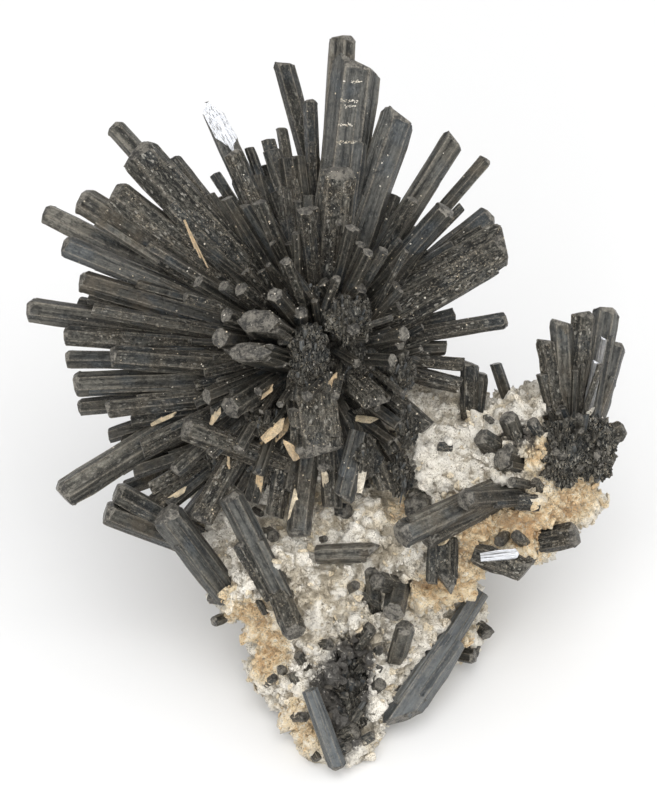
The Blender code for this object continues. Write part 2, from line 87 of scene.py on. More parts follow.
# %% Camera
LENS, SENSOR = 150.0, 36.0
reach = PICTURE_STEP * PICTURE_HEIGHT * LENS / SENSOR
eye_data = bpy.data.cameras.new("camera")
eye_data.sensor_fit = "VERTICAL"
eye_data.sensor_height = SENSOR
eye_data.lens = LENS
eye_data.clip_start = 0.01
eye = bpy.data.objects.new("camera", eye_data)
bpy.context.scene.collection.objects.link(eye)
EYE_PLACE = seen(PICTURE_WIDTH / 2, PICTURE_HEIGHT / 2, reach)
eye.matrix_world = Matrix.Translation(EYE_PLACE * MM) @ Matrix((RIGHT, UP, OUT)).transposed().to_4x4()
bpy.context.scene.camera = eye
print("camera stands", round(reach), "mm from the face")

# %% [markdown]
# The light is that of a white tent: a broad lamp above and in front, a weaker one from the right, one
# low in front, and a pale room all round that is darker near the horizon. Crystal faces that look up
# then shine softly, and those that look sideways stay dark, which is what shows their edges.

# %% Light and floor
SKY_STOPS = ((0.0, 0.60), (0.46, 0.50), (0.60, 0.62), (0.85, 0.95))
LAMPS = (
    ("key lamp", (-0.02, -0.44, 0.88), 0.80, 5.2),
    ("side lamp", (0.75, -0.35, 0.50), 0.70, 1.9),
    ("front lamp", (-0.25, -0.88, 0.42), 0.55, 2.7),
)
LIT_PLACE = Vector((0, 0, 0.04))  # what the lamps are turned to
PAPER = (0.765, 0.765, 0.76, 1.0)
FLOOR_SIDE = 4.0


def add_lamp(name, place, side, power):
    data = bpy.data.lights.new(name, "AREA")
    data.size = side
    data.energy = power
    lamp = bpy.data.objects.new(name, data)
    lamp.location = place
    lamp.rotation_euler = (LIT_PLACE - Vector(place)).to_track_quat("-Z", "Y").to_euler()
    bpy.context.scene.collection.objects.link(lamp)


for lamp_row in LAMPS:
    add_lamp(*lamp_row)
room = bpy.data.worlds.new("white tent")
bpy.context.scene.world = room
room.use_nodes = True
room_nodes = room.node_tree.nodes
sky = room_nodes.new("ShaderNodeTexCoord")
height = room_nodes.new("ShaderNodeSeparateXYZ")
to_share = room_nodes.new("ShaderNodeMath")
to_share.operation = "MULTIPLY_ADD"
to_share.inputs[1].default_value = 0.5
to_share.inputs[2].default_value = 0.5
ramp = room_nodes.new("ShaderNodeValToRGB")
for place, grey in SKY_STOPS:
    stop = ramp.color_ramp.elements.new(place)
    stop.color = (grey, grey, grey * 1.01, 1.0)
ramp.color_ramp.elements.remove(ramp.color_ramp.elements[-1])
room_links = room.node_tree.links
room_links.new(sky.outputs["Generated"], height.inputs[0])
room_links.new(height.outputs["Z"], to_share.inputs[0])
room_links.new(to_share.outputs[0], ramp.inputs[0])
room_links.new(ramp.outputs[0], room_nodes["Background"].inputs["Color"])
bpy.context.scene.view_settings.view_transform = "Standard"

bpy.ops.object.select_all(action="DESELECT")
bpy.ops.mesh.primitive_plane_add(size=FLOOR_SIDE, location=(0, 0, 0))
floor = bpy.context.object
floor.name = "floor"
paper = bpy.data.materials.new("white paper")
paper.use_nodes = True
paper_shader = paper.node_tree.nodes["Principled BSDF"]
paper_shader.inputs["Base Color"].default_value = PAPER
paper_shader.inputs["Roughness"].default_value = 0.7
floor.data.materials.append(paper)
print("lamps:", len(LAMPS))

# %% [markdown]
# Finishes are sums of patterns, and sums read best as sums. So one small class wraps a socket and
# lets plus, minus, times and power add their Math nodes, and another holds a material's nodes.
# Every other node comes from one method, which takes the node's type, its sockets and its settings.


# %% Sums of sockets
class Number:
    """A socket that can stand in a Python expression."""

    def __init__(self, finish, socket):
        self.finish = finish
        self.socket = socket

    def math(self, operation, first, second):
        return self.finish.node("Math", {0: first, 1: second}, operation=operation)

    def __add__(self, other):
        return self.math("ADD", self, other)

    def __sub__(self, other):
        return self.math("SUBTRACT", self, other)

    def __rsub__(self, other):
        return self.math("SUBTRACT", other, self)

    def __mul__(self, other):
        return self.math("MULTIPLY", self, other)

    def __pow__(self, other):
        return self.math("POWER", self, other)

    __radd__ = __add__
    __rmul__ = __mul__


class Finish:
    """A material with its node tree and its Principled shader."""

    def __init__(self, name):
        self.material = bpy.data.materials.new(name)
        self.material.use_nodes = True
        self.tree = self.material.node_tree
        self.shader = self.tree.nodes["Principled BSDF"]
        self.colour = None

    def feed(self, socket, value):
        if isinstance(value, Number):
            self.tree.links.new(value.socket, socket)
        elif isinstance(value, tuple) and len(value) == 3 and socket.type == "RGBA":
            socket.default_value = (*value, 1.0)
        else:
            socket.default_value = value

    def node(self, kind, sockets, output=0, **settings):
        made = self.tree.nodes.new("ShaderNode" + kind)
        for key, value in settings.items():
            setattr(made, key, value)
        for key, value in sockets.items():
            self.feed(made.inputs[key], value)
        return Number(self, made.outputs[output])

    def stretched(self, vector, scale):
        return self.node("VectorMath", {0: vector, 1: scale}, operation="MULTIPLY")

    def noise(self, vector, scale, detail=2.0, roughness=0.5):
        sockets = {"Vector": vector, "Scale": scale, "Detail": detail, "Roughness": roughness}
        return self.node("TexNoise", sockets)

    def step(self, value, low, high):
        """0 where the value is under low, 1 where it is over high, and smooth between."""
        sockets = {"Value": value, "From Min": low, "From Max": high}
        return self.node("MapRange", sockets, interpolation_type="SMOOTHSTEP")

    def mix(self, share, first, second):
        return self.node("Mix", {0: share, 6: first, 7: second}, output=2, data_type="RGBA")

    def lay(self, share, colour):
        """Lays a colour over the finish's colour so far, as thickly as the share says."""
        self.colour = self.mix(share, self.colour, colour)

    def bump(self, height, strength, distance):
        sockets = {"Strength": strength, "Distance": distance, "Height": height}
        return self.node("Bump", sockets)

    def surface(self, **sockets):
        for name, value in sockets.items():
            self.feed(self.shader.inputs[name.replace("_", " ")], value)


print("helpers for finishes are ready")

# %% [markdown]
# Stibnite is charcoal grey with fine grooves along each crystal, pale dust, edges lightened by wear
# and a painted highlight, and a cold blue sheen that is a painted reflection. The grooves must run
# along every crystal whichever way it points, so the finish reads a place stored on each copy, in
# millimetres of that crystal's own axes. A second stored colour gives each crystal its own share of
# lightness, speckle, brown and a painted mirror reflection on its end face. Tiny facets get painted
# glints and painted shade, and the grit gets painted shade in its pits.

# %% Stibnite
# The blue of the sheen and the edge, mirror and glint colours below are painted light: sheen, highlights and
# reflections.
DARK, MIDDLE, PALE = (0.0095, 0.0095, 0.0085), (0.056, 0.0545, 0.0455), (0.220, 0.207, 0.173)
SHEEN_BLUE, BROWN, DUST = (0.052, 0.070, 0.086), (0.092, 0.077, 0.056), (0.460, 0.400, 0.300)
END_FACE, END_DUST, EDGE = (0.045, 0.043, 0.039), (0.270, 0.250, 0.212), (0.360, 0.320, 0.255)
PAINTED_REFLECTION, STEEL, SPARKLE_HIGHLIGHT = (0.86, 0.88, 0.92), (0.122, 0.138, 0.150), (0.42, 0.40, 0.35)
METAL_SHARE = 0.40
GROOVE_DEPTH = 0.00045  # metres

stibnite = Finish("stibnite_grooved")
grain = stibnite.node("Attribute", {}, output=1, attribute_name="grain")
tone = stibnite.node("Attribute", {}, attribute_name="tone")
light_share = stibnite.node("SeparateColor", {0: tone})
speckle_share = stibnite.node("SeparateColor", {0: tone}, output=1)
brown_share = stibnite.node("SeparateColor", {0: tone}, output=2)
reflection_share = stibnite.node("Attribute", {}, output=3, attribute_name="tone")
rim = stibnite.node("Attribute", {}, output=2, attribute_name="rim")
cap = stibnite.node("Attribute", {}, output=2, attribute_name="cap")
fine_grooves = stibnite.noise(stibnite.stretched(grain, (5.0, 5.0, 0.22)), 1.0, 3.0, 0.65)
broad_grooves = stibnite.noise(stibnite.stretched(grain, (1.5, 1.5, 0.06)), 1.0, 2.0)
patches = stibnite.noise(grain, 0.34, 3.0, 0.6)
flecks = stibnite.noise(grain, 3.4, 3.0, 0.75)
grit = stibnite.noise(stibnite.stretched(grain, (4.4, 4.4, 2.2)), 1.0, 3.0, 0.85)
blotches = stibnite.noise(grain, 0.95, 3.0, 0.65)
facet_place = stibnite.stretched(grain, (5.2, 5.2, 2.3))
facets = stibnite.node("TexVoronoi", {"Vector": facet_place, "Scale": 1.0, "Randomness": 1.0}, output=1)
facet = stibnite.node("SeparateColor", {0: facets})
blue_share = stibnite.step(brown_share, -0.05, -1.0)
painted_sheen_field = stibnite.noise(grain, 0.16, 1.0)
groove_tone = stibnite.step(fine_grooves * 0.6 + broad_grooves * 0.4, 0.40, 0.62)
stibnite.colour = stibnite.mix(groove_tone, DARK, MIDDLE)
stibnite.lay(light_share * stibnite.step(broad_grooves, 0.34, 0.66), PALE)
# Painted sheen: patches of cold blue laid on the faces stand for a reflection.
stibnite.lay(stibnite.step(painted_sheen_field, 0.52, 0.66) * 0.42, SHEEN_BLUE)
stibnite.lay(stibnite.step(patches, 0.42, 0.66) * brown_share, BROWN)
stibnite.lay(stibnite.step(blotches, 0.50, 0.40) * 0.50, DARK)
stibnite.lay(stibnite.step(grit, 0.53, 0.64) * (0.20 + 0.30 * speckle_share), PALE)
# Where the grit sinks in the bump it is laid darker: painted shade in its pits, over a mottled tone.
stibnite.lay(stibnite.step(grit, 0.47, 0.37) * (0.40 + 0.45 * speckle_share), DARK)
# Painted shade: tiny facets turned from the light are laid dark.
stibnite.lay(stibnite.step(facet, 0.34, 0.12) * speckle_share * 0.7, DARK)
# Painted highlights: single facets laid pale as glints, and the brightest as sparks.
glint = stibnite.step(facet, 0.70, 0.86) * speckle_share * 0.65 * stibnite.step(blotches, 0.40, 0.58)
stibnite.lay(glint, PALE)
painted_sparkle = stibnite.step(facet, 0.92, 0.96) * speckle_share * stibnite.step(blotches, 0.38, 0.52)
stibnite.lay(painted_sparkle * 0.75, SPARKLE_HIGHLIGHT)
stibnite.lay(blue_share * (0.35 + 0.45 * groove_tone), STEEL)
# Lighter corner edges: partly wear, partly a painted highlight along the edges.
worn_and_highlit_edge = (rim ** 5.0) * stibnite.step(flecks, 0.34, 0.58)
stibnite.lay(worn_and_highlit_edge * 0.62, EDGE)
fleck_mask = stibnite.step(flecks, 0.57, 0.66) * stibnite.step(patches, 0.40, 0.58)
stibnite.lay(fleck_mask * speckle_share, DUST)
end_tone = stibnite.step(flecks * 0.5 + blotches * 0.5, 0.40, 0.60)
stibnite.lay(cap * 0.9, stibnite.mix(end_tone, END_FACE, END_DUST))
# Painted reflection: the end face, or with a share over 1 the whole crystal, is laid near white as a mirror
# reflection.
whole_crystal_reflection = stibnite.step(reflection_share, 1.0, 2.0)
bright = stibnite.node("Math", {0: cap * reflection_share, 1: whole_crystal_reflection}, operation="MAXIMUM")
bright = bright * (1 - 0.75 * stibnite.step(fine_grooves, 0.48, 0.40))
stibnite.lay(bright, PAINTED_REFLECTION)
shine = 0.24 + 0.16 * speckle_share + 0.16 * stibnite.step(patches, 0.3, 0.7) - bright * 0.15
roughness = 0.25 + 0.60 * speckle_share
relief = fine_grooves * 0.6 + broad_grooves + (grit + blotches + facet * 0.3) * roughness
stibnite.surface(
    Base_Color=stibnite.colour,
    Roughness=shine,
    Metallic=METAL_SHARE,
    Normal=stibnite.bump(relief, 0.9, GROOVE_DEPTH),
)
print("stibnite nodes:", len(stibnite.tree.nodes))

# %% [markdown]
# The rock is white to cream where it is clean, grey where it is glassy, and stained tan by iron in a
# few places. Real stains have a middle and fade out, so each is a distance from a point on the rock,
# broken up by noise. The points lie where the photograph shows the stains. Rises of the skin are
# painted lighter, and its hollows, pits and cracks darker, as painted shade.

# %% Crust of the matrix
WHITE, CREAM, GLASSY = (0.95, 0.90, 0.80), (0.87, 0.775, 0.61), (0.40, 0.345, 0.255)
SAND, STAIN, RUST = (0.87, 0.71, 0.46), (0.77, 0.56, 0.32), (0.50, 0.29, 0.13)
# The pit colour is painted shade in pits, hollows and cracks.
PIT_SHADE, SOOT = (0.15, 0.115, 0.075), (0.040, 0.037, 0.034)
# Spots are places in the picture with how far out of the face they lie, and a radius in millimetres.
STAINS = (
    ((495, 552, -1.0), 9.5),
    ((560, 520, -5.0), 7.5),
    ((520, 590, -6.0), 6.5),
    ((258, 640, -2.0), 5.4),
    ((298, 728, 0.0), 5.6),
    ((240, 605, -3.0), 4.2),
    ((470, 650, -8.0), 3.2),
    ((540, 455, -2.0), 3.6),
    ((285, 430, -2.0), 4.6),
    ((430, 598, -2.0), 4.4),
    ((262, 660, -2.0), 4.6),
    ((400, 505, -1.0), 3.4),
    ((462, 600, -4.0), 5.0),
    ((590, 500, -8.0), 5.0),
    ((470, 515, -2.0), 4.0),
)
CLEAN_SPOTS = (
    ((285, 650, 0.0), 3.6),
    ((372, 700, 0.0), 4.6),
    ((300, 675, 0.0), 3.0),
    ((440, 468, -2.0), 5.5),
    ((470, 440, -3.0), 4.0),
    ((395, 495, 0.0), 3.6),
    ((330, 545, 1.0), 3.6),
    ((425, 645, -3.0), 3.4),
    ((240, 560, -2.0), 3.0),
    ((575, 470, -6.0), 4.0),
    ((352, 520, 1.0), 3.0),
)
GLASSY_SPOTS = (
    ((285, 575, 1.0), 4.6),
    ((272, 525, 0.0), 3.8),
    ((330, 605, 1.0), 4.4),
    ((385, 560, 1.0), 3.2),
    ((425, 600, -1.0), 3.6),
    ((360, 640, 0.0), 3.4),
    ((412, 440, -2.0), 3.0),
    ((505, 470, -3.0), 2.4),
)
SOOT_SPOTS = (
    ((340, 690, 0.0), 5.6),
    ((355, 655, 0.0), 3.8),
    ((345, 728, 1.0), 4.2),
    ((522, 440, -3.0), 3.4),
)
SUGAR_DEPTH = 0.0006  # metres

crust = Finish("crumbly_crust")
place = crust.stretched(crust.node("TexCoord", {}, output=3), (1000.0, 1000.0, 1000.0))
depth = crust.node("Attribute", {}, output=2, attribute_name="depth")
crust_tone = crust.node("Attribute", {}, attribute_name="tone")
flake_tone = crust.node("SeparateColor", {0: crust_tone})
shard = crust.node("SeparateColor", {0: crust_tone}, output=1)


def near(spot, radius):
    """1 at the spot and 0 past the radius."""
    distance = crust.node("VectorMath", {0: place, 1: seen(*spot)}, output=1, operation="DISTANCE")
    return crust.step(distance * (1 / radius), 1.15, 0.25)


def total(masks):
    added = masks[0]
    for mask in masks[1:]:
        added = added + mask
    return added


clouds = crust.noise(place, 0.22, 3.0, 0.6)
sugar = crust.noise(place, 1.5, 4.0, 0.65)
pits = crust.noise(place, 4.5, 2.0, 0.6)
shaded_hollows = crust.noise(place, 1.15, 4.0, 0.72)
stained = total([near(*row) for row in STAINS]) * crust.step(sugar, 0.25, 0.62) + flake_tone * 0.9
sooty = total([near(*row) for row in SOOT_SPOTS]) * (0.4 + crust.step(sugar, 0.30, 0.55))
clean = crust.step(total([near(*row) for row in CLEAN_SPOTS]), 0.0, 0.6)
glassy_place = crust.step(total([near(*row) for row in GLASSY_SPOTS]), 0.0, 0.7)
glass = crust.step(crust.noise(place, 0.42, 3.0, 0.6) + glassy_place * 0.10 - clean * 0.12, 0.51, 0.60)
creases = crust.node("TexVoronoi", {"Vector": place, "Scale": 1.05}, feature="DISTANCE_TO_EDGE")
crust.colour = crust.mix(crust.step(clouds, 0.42, 0.66), WHITE, CREAM)
crust.lay(clean * 0.8, WHITE)
crust.lay(glass * 0.62, GLASSY)
crust.lay(crust.step(stained, 0.05, 0.5) * 0.9, SAND)
crust.lay(crust.step(stained * (0.5 + clouds), 0.35, 0.95) * 0.9, STAIN)
crust.lay(crust.step(stained * sugar, 0.50, 0.90) * 0.6, RUST)
crust.lay(crust.step(pits, 0.54, 0.64) * 0.6, GLASSY)
# Painted shade: the low places of the noise are laid grey and dark brown, as shade in hollows and pits.
crust.lay(crust.step(shaded_hollows + clean * 0.03, 0.43, 0.34) * (1 - shard) * 0.75, GLASSY)
crust.lay(crust.step(shaded_hollows * 0.6 + pits * 0.4, 0.42, 0.36) * (1 - shard) * 0.8, PIT_SHADE)
# Painted light and shade: rises of the skin are laid lighter and its sunken places darker.
crust.lay(crust.step(depth, 0.10, 0.65) * 0.80, crust.mix(stained, WHITE, SAND))
crust.lay(crust.step(depth, -0.10, -0.75) * 0.70, crust.mix(stained, GLASSY, RUST))
# Painted shade: thin dark lines along the cell edges stand for shade in cracks.
crack_shade = crust.step(creases, 0.07, 0.0) * crust.step(pits, 0.46, 0.58) * (1 - shard)
crust.lay(crack_shade * 0.6, PIT_SHADE)
crust.lay(shard * crust.step(sugar, 0.35, 0.60) * 0.6, GLASSY)
crust.lay(crust.step(sooty, 0.1, 0.8) * 0.93, SOOT)
crust.surface(
    Base_Color=crust.colour,
    Roughness=0.60 + 0.25 * sugar,
    Normal=crust.bump(sugar + pits * 0.7, 1.0, SUGAR_DEPTH),
)
print("crust nodes:", len(crust.tree.nodes))

# %% [markdown]
# All crystals here are one habit: a long prism of six flat sides with a few slanting faces at its end.
# Eighteen patterns are enough for all the crystals once each copy has its own width, length and
# turn. A pattern starts as a cylinder of 18 sides, or of 12 for slim crystals. Columns between the
# corners are drawn in to the flat of a six-sided prism, then single columns of the wide ones are moved
# a little, which leaves real grooves. The end is cut with planes, as a gem is cut. All below height 1
# is shaft, and a copy stretches only that.


# %% Helpers for modelling by hand
COLUMNS = 18
TIP_ROOM = 1.3  # how far a prism goes on above height 1, to be cut to its end
HALF_SIDE = math.radians(30)  # half the angle that one side of six takes up
ROOT_SHARE = 0.86  # a crystal's section at its root, as a share of its full section


def only(piece):
    bpy.ops.object.select_all(action="DESELECT")
    piece.select_set(True)
    bpy.context.view_layer.objects.active = piece


def select(piece, kind, test):
    """In edit mode, selects the vertices, edges or faces that pass the test."""
    bpy.ops.mesh.select_mode(type=kind)
    bpy.ops.mesh.select_all(action="DESELECT")
    bm = bmesh.from_edit_mesh(piece.data)
    for part in {"VERT": bm.verts, "EDGE": bm.edges, "FACE": bm.faces}[kind]:
        part.select_set(bool(test(part)))
    bm.select_flush_mode()
    bmesh.update_edit_mesh(piece.data)


def column(vert):
    """Which of 18 columns a point of a round prism is in, counted from the +X side."""
    return round(math.degrees(math.atan2(vert.co.y, vert.co.x)) / (360 / COLUMNS)) % COLUMNS


def cut(co, normal):
    """Takes off all that lies beyond a plane and closes the mesh with a flat face."""
    bpy.ops.mesh.select_all(action="SELECT")
    bpy.ops.mesh.bisect(plane_co=co, plane_no=normal, use_fill=True, clear_outer=True)


def mark_rims(piece):
    """Stores 1 on the corner columns, where a crystal's edges are lightened by wear and a painted highlight.
    """
    marks = piece.data.attributes.new("rim", "FLOAT", "POINT")
    for vert in piece.data.vertices:
        marks.data[vert.index].value = 1.0 if column(vert) % 3 == 0 else 0.0


def new_prism(sides, grooves, rings):
    """A six-sided prism from height 0 to 1, with room above for its end."""
    bpy.ops.object.select_all(action="DESELECT")
    bpy.ops.mesh.primitive_cylinder_add(
        vertices=sides, radius=0.5, depth=1.0, location=(0, 0, 0.5), rotation=(0, 0, HALF_SIDE)
    )
    prism = bpy.context.object
    bpy.ops.object.transform_apply(location=True, rotation=True)
    mark_rims(prism)
    bpy.ops.object.mode_set(mode="EDIT")
    flat = math.cos(HALF_SIDE) / math.cos(math.radians(10 if sides == COLUMNS else 0))
    select(prism, "VERT", lambda v: column(v) % 3 != 0)
    bpy.ops.transform.resize(value=(flat, flat, 1), center_override=(0, 0, 0.5))
    for which, share in grooves:
        select(prism, "VERT", lambda v: column(v) == which)
        bpy.ops.transform.resize(value=(share, share, 1), center_override=(0, 0, 0.5))
    select(prism, "VERT", lambda v: True)
    widen = 1 / math.cos(HALF_SIDE)
    bpy.ops.transform.resize(value=(1, widen, 1), center_override=(0, 0, 0.5))
    for height, share in rings:
        select(prism, "VERT", lambda v: True)
        bpy.ops.mesh.bisect(plane_co=(0, 0, height), plane_no=(0, 0, 1))
        select(prism, "VERT", lambda v: abs(v.co.z - height) < 0.001)
        bpy.ops.transform.resize(value=(share, share, 1), center_override=(0, 0, height))
    select(prism, "VERT", lambda v: v.co.z < 0.01)
    bpy.ops.transform.resize(value=(ROOT_SHARE, ROOT_SHARE, 1), center_override=(0, 0, 0))
    select(prism, "FACE", lambda f: f.normal.z > 0.9)
    bpy.ops.mesh.extrude_region_move(TRANSFORM_OT_translate={"value": (0, 0, TIP_ROOM)})
    return prism


class Shape:
    """A finished pattern, read once: its points, faces, edges for wear and painted highlight, end faces and
    height.
    """

    def __init__(self, piece):
        bpy.ops.object.mode_set(mode="OBJECT")
        mesh = piece.data
        self.points = np.array([vert.co[:] for vert in mesh.vertices])
        self.faces = [tuple(face.vertices) for face in mesh.polygons]
        self.caps = [float(face.normal.z > 0.3 and face.center.z > 1.0) for face in mesh.polygons]
        marks = mesh.attributes.get("rim")
        self.rims = [item.value for item in marks.data] if marks else [0.0] * len(self.points)
        self.top = self.points[:, 2].max()
        bpy.data.objects.remove(piece)


print("a prism has", COLUMNS, "columns")

# %% [markdown]
# The ends follow the photograph. Most are one nearly level face with a few small slopes round it.
# Some fall to one side, some are a roof of two faces, and a few run out to an oblique point.

# %% Patterns of crystals
WORN = 0.045  # how wide the worn edges of an end are
# Which columns are moved, and to what share of their distance from the middle.
GROOVE_SETS = (
    ((1, 0.955), (4, 1.02), (5, 0.96), (8, 1.03), (10, 0.95), (13, 1.02), (14, 0.965), (17, 1.02)),
    ((2, 0.95), (4, 0.965), (7, 1.03), (8, 0.96), (11, 1.02), (13, 0.95), (16, 1.03), (17, 0.97)),
)
# Heights where a prism swells or narrows, and to what share of its width.
RING_SETS = (
    ((0.30, 1.00), (0.52, 0.97), (0.74, 1.03), (0.86, 0.985)),
    ((0.26, 0.98), (0.45, 1.03), (0.68, 0.97), (0.90, 1.02)),
)
# Each plane that cuts an end: a point on it and the way it faces.
ENDINGS = {
    "flat": (
        ((0, 0, 1.16), (0.16, 0.10, 1)),
        ((0.36, 0, 1.12), (0.8, 0.2, 0.7)),
        ((-0.3, 0.32, 1.12), (-0.5, 0.7, 0.6)),
    ),
    "blunt": (
        ((0, 0, 1.26), (-0.16, 0.14, 1)),
        ((0.40, 0.0, 1.16), (0.8, -0.2, 0.7)),
        ((0.20, 0.38, 1.18), (0.4, 0.7, 0.8)),
        ((-0.24, 0.36, 1.20), (-0.5, 0.6, 0.7)),
        ((-0.42, -0.1, 1.18), (-0.8, -0.3, 0.75)),
        ((0.05, -0.42, 1.16), (0.1, -0.8, 0.7)),
    ),
    "falling": (
        ((0, 0, 1.24), (0.38, 0.12, 1)),
        ((-0.44, 0.0, 1.30), (-0.8, 0.1, 0.7)),
        ((0, -0.44, 1.2), (0, -0.8, 0.7)),
    ),
    "roof": (
        ((0, 0, 1.40), (0.62, 0.05, 1)),
        ((-0.05, 0, 1.40), (-0.55, 0.10, 1)),
        ((0, -0.4, 1.3), (0.0, -0.9, 0.6)),
    ),
    "point": (
        ((0.0, 0, 1.62), (1.35, 0.25, 1)),
        ((-0.34, 0, 1.9), (-1.0, -0.2, 0.5)),
        ((-0.1, -0.4, 1.7), (0, -1, 0.5)),
    ),
    "sliver": (((0.0, 0, 1.6), (1.45, 0.2, 1)),),
}


def pattern(sides, grooves, rings, planes):
    prism = new_prism(sides, grooves, rings)
    for co, normal in planes:
        cut(co, Vector(normal).normalized())
    if sides == COLUMNS:
        select(prism, "EDGE", lambda e: e.is_manifold and any(f.normal.z > 0.3 for f in e.link_faces))
        bpy.ops.mesh.bevel(offset=WORN, segments=2, affect="EDGES")
    return Shape(prism)


LARGE = {
    end: [pattern(COLUMNS, *marks, planes) for marks in zip(GROOVE_SETS, RING_SETS)]
    for end, planes in ENDINGS.items()
}
SMALL = {end: [pattern(12, (), ((0.55, 1.05),), planes)] for end, planes in ENDINGS.items()}
print("faces of the large patterns:", {end: len(shapes[0].faces) for end, shapes in LARGE.items()})

# %% [markdown]
# The rock's skin carries two small things: thin chips that stand at all angles, and sugary grains.
# A chip is a flat seven-sided disc cut askew so that it is not a neat one, and a grain is a rough ball.


# %% Patterns of chips and grains
def chip_pattern():
    bpy.ops.object.select_all(action="DESELECT")
    bpy.ops.mesh.primitive_cylinder_add(vertices=7, radius=0.5, depth=0.2, location=(0, 0, 0))
    chip = bpy.context.object
    bpy.ops.object.mode_set(mode="EDIT")
    cut((0.28, 0, 0), Vector((1, 0.35, 0.5)).normalized())
    cut((-0.30, 0.1, 0), Vector((-1, 0.6, -0.4)).normalized())
    select(chip, "FACE", lambda f: f.normal.z > 0.9)
    bpy.ops.transform.resize(value=(0.8, 0.7, 1), center_override=(0.05, 0, 0.1))
    return Shape(chip)


def grain_pattern():
    bpy.ops.object.select_all(action="DESELECT")
    bpy.ops.mesh.primitive_ico_sphere_add(subdivisions=1, radius=0.5)
    ball = bpy.context.object
    bpy.ops.object.mode_set(mode="EDIT")
    cut((0.2, 0.1, 0.3), Vector((0.4, 0.2, 1)).normalized())
    cut((-0.3, 0.2, 0), Vector((-1, 0.5, 0.2)).normalized())
    return Shape(ball)


CHIP = chip_pattern()
GRAIN = grain_pattern()
print("chip faces:", len(CHIP.faces), "grain faces:", len(GRAIN.faces))

# %% [markdown]
# Copies are gathered in a bundle, which becomes one mesh at the end. A crystal's copy is stretched
# along its shaft, so its end keeps its shape. It is set along the line from its root to its tip, and
# it stores its own place and tone for the finish. Wide crystals are seldom single: slimmer ones have
# grown along them, parallel and a little shorter, and leave the steps that real crystals have.


# %% Bundles of copies
FINE_WIDTH = 1.7  # up to this width a crystal is a copy of the simpler patterns
UNEVEN = 0.028  # how far a crystal's points are off, as a share of its width
MOST_END = 0.6  # most of a crystal's length that its end takes
LONG_TIP = 2.8  # how much longer the oblique face of a sliver is


class Bundle:
    """Placed copies of patterns that become one mesh."""

    def __init__(self, seed):
        self.draw = random.Random(seed)
        self.points, self.grains, self.tones = [], [], []
        self.faces, self.rims, self.caps = [], [], []
        self.count = 0

    def add(self, shape, places, local, tone):
        self.points.append(places)
        self.grains.append(local)
        self.tones.append(np.tile(tone, (len(places), 1)))
        self.faces += [tuple(i + self.count for i in face) for face in shape.faces]
        self.rims += shape.rims
        self.caps += shape.caps
        self.count += len(places)

    def tone(self, finish):
        """Lightness, speckle, brown and a painted mirror reflection on the end face: drawn by chance, or set
        for a named finish.
        """
        light = self.draw.uniform(0.0, 0.62) ** 1.4
        speckle = self.draw.uniform(0.0, 0.9) ** 1.3
        brown = self.draw.uniform(0.0, 0.8)
        light, speckle, brown, mirror = TONES.get(finish, (light, speckle, brown, 0.0))
        return light, speckle, brown, mirror

    def crystal(self, root, tip, width, thick, turn=0.0, end="flat", finish="", tone=None):
        axis = (tip - root).normalized()
        side = axis.cross(OUT)
        if side.length < 0.2:
            side = axis.cross(UP)
        side.normalize()
        side = Matrix.Rotation(math.radians(turn), 3, axis) @ side
        other = axis.cross(side)
        shape = self.draw.choice((LARGE if width > FINE_WIDTH else SMALL)[end])
        x, y, z = shape.points.T
        uneven = 1 + UNEVEN * np.array([self.draw.gauss(0, 1) for _ in z]).clip(-2, 2)
        x, y = x * uneven, y * uneven
        length = (tip - root).length
        room = min((shape.top - 1) * width * (LONG_TIP if end == "sliver" else 1.0), MOST_END * length)
        stretched = np.where(z <= 1, z * (length - room), length - room + (z - 1) / (shape.top - 1) * room)
        local = np.stack((x * width, y * thick, stretched), axis=1)
        places = np.array(root) + local @ np.array((side, other, axis))
        shift = [self.draw.uniform(0, 90) for _ in range(3)]
        self.add(shape, places, local + shift, tone or self.tone(finish))
        return side, other

    def grown(self, root, tip, width, thick, turn=0.0, end="flat", finish=""):
        """A crystal with the slimmer ones that grew along it."""
        tone = self.tone(finish)
        side, other = self.crystal(root, tip, width, thick, turn, end, finish, tone)
        beside = 0 if width < 2.0 else 1 + int(width > 2.6) + int(width > 3.6) + int(width > 4.5)
        for _ in range(beside):
            across = self.draw.choice((-1, 1)) * self.draw.uniform(0.16, 0.34) * width
            through = self.draw.choice((-1, 1)) * self.draw.uniform(0.22, 0.36) * thick
            shift = side * across + other * through
            near_tip = root + (tip - root) * self.draw.uniform(0.55, 0.93)
            slim = self.draw.uniform(0.30, 0.46)
            ends = root + shift, near_tip + shift
            self.crystal(*ends, width * slim, thick * slim, turn, "flat", finish, tone)

    def piece(self, name, finish, slot, nodes=()):
        """Makes the mesh, and lets it ride on the part and stand for its nodes."""
        mesh = bpy.data.meshes.new(name)
        mesh.from_pydata((np.concatenate(self.points) * MM).tolist(), [], self.faces)
        grain = mesh.attributes.new("grain", "FLOAT_VECTOR", "POINT")
        grain.data.foreach_set("vector", np.concatenate(self.grains).astype(np.float32).ravel())
        tone = mesh.attributes.new("tone", "FLOAT_COLOR", "POINT")
        tone.data.foreach_set("color", np.concatenate(self.tones).astype(np.float32).ravel())
        mesh.attributes.new("rim", "FLOAT", "POINT").data.foreach_set("value", self.rims)
        mesh.attributes.new("cap", "FLOAT", "FACE").data.foreach_set("value", self.caps)
        mesh.materials.append(finish.material)
        made = bpy.data.objects.new(name, mesh)
        bpy.context.scene.collection.objects.link(made)
        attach(made, "root")
        if nodes:
            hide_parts(*nodes)
        triangles = sum(len(face) - 2 for face in self.faces)
        print(name, "copies:", len(self.points), "triangles:", triangles)
        return made


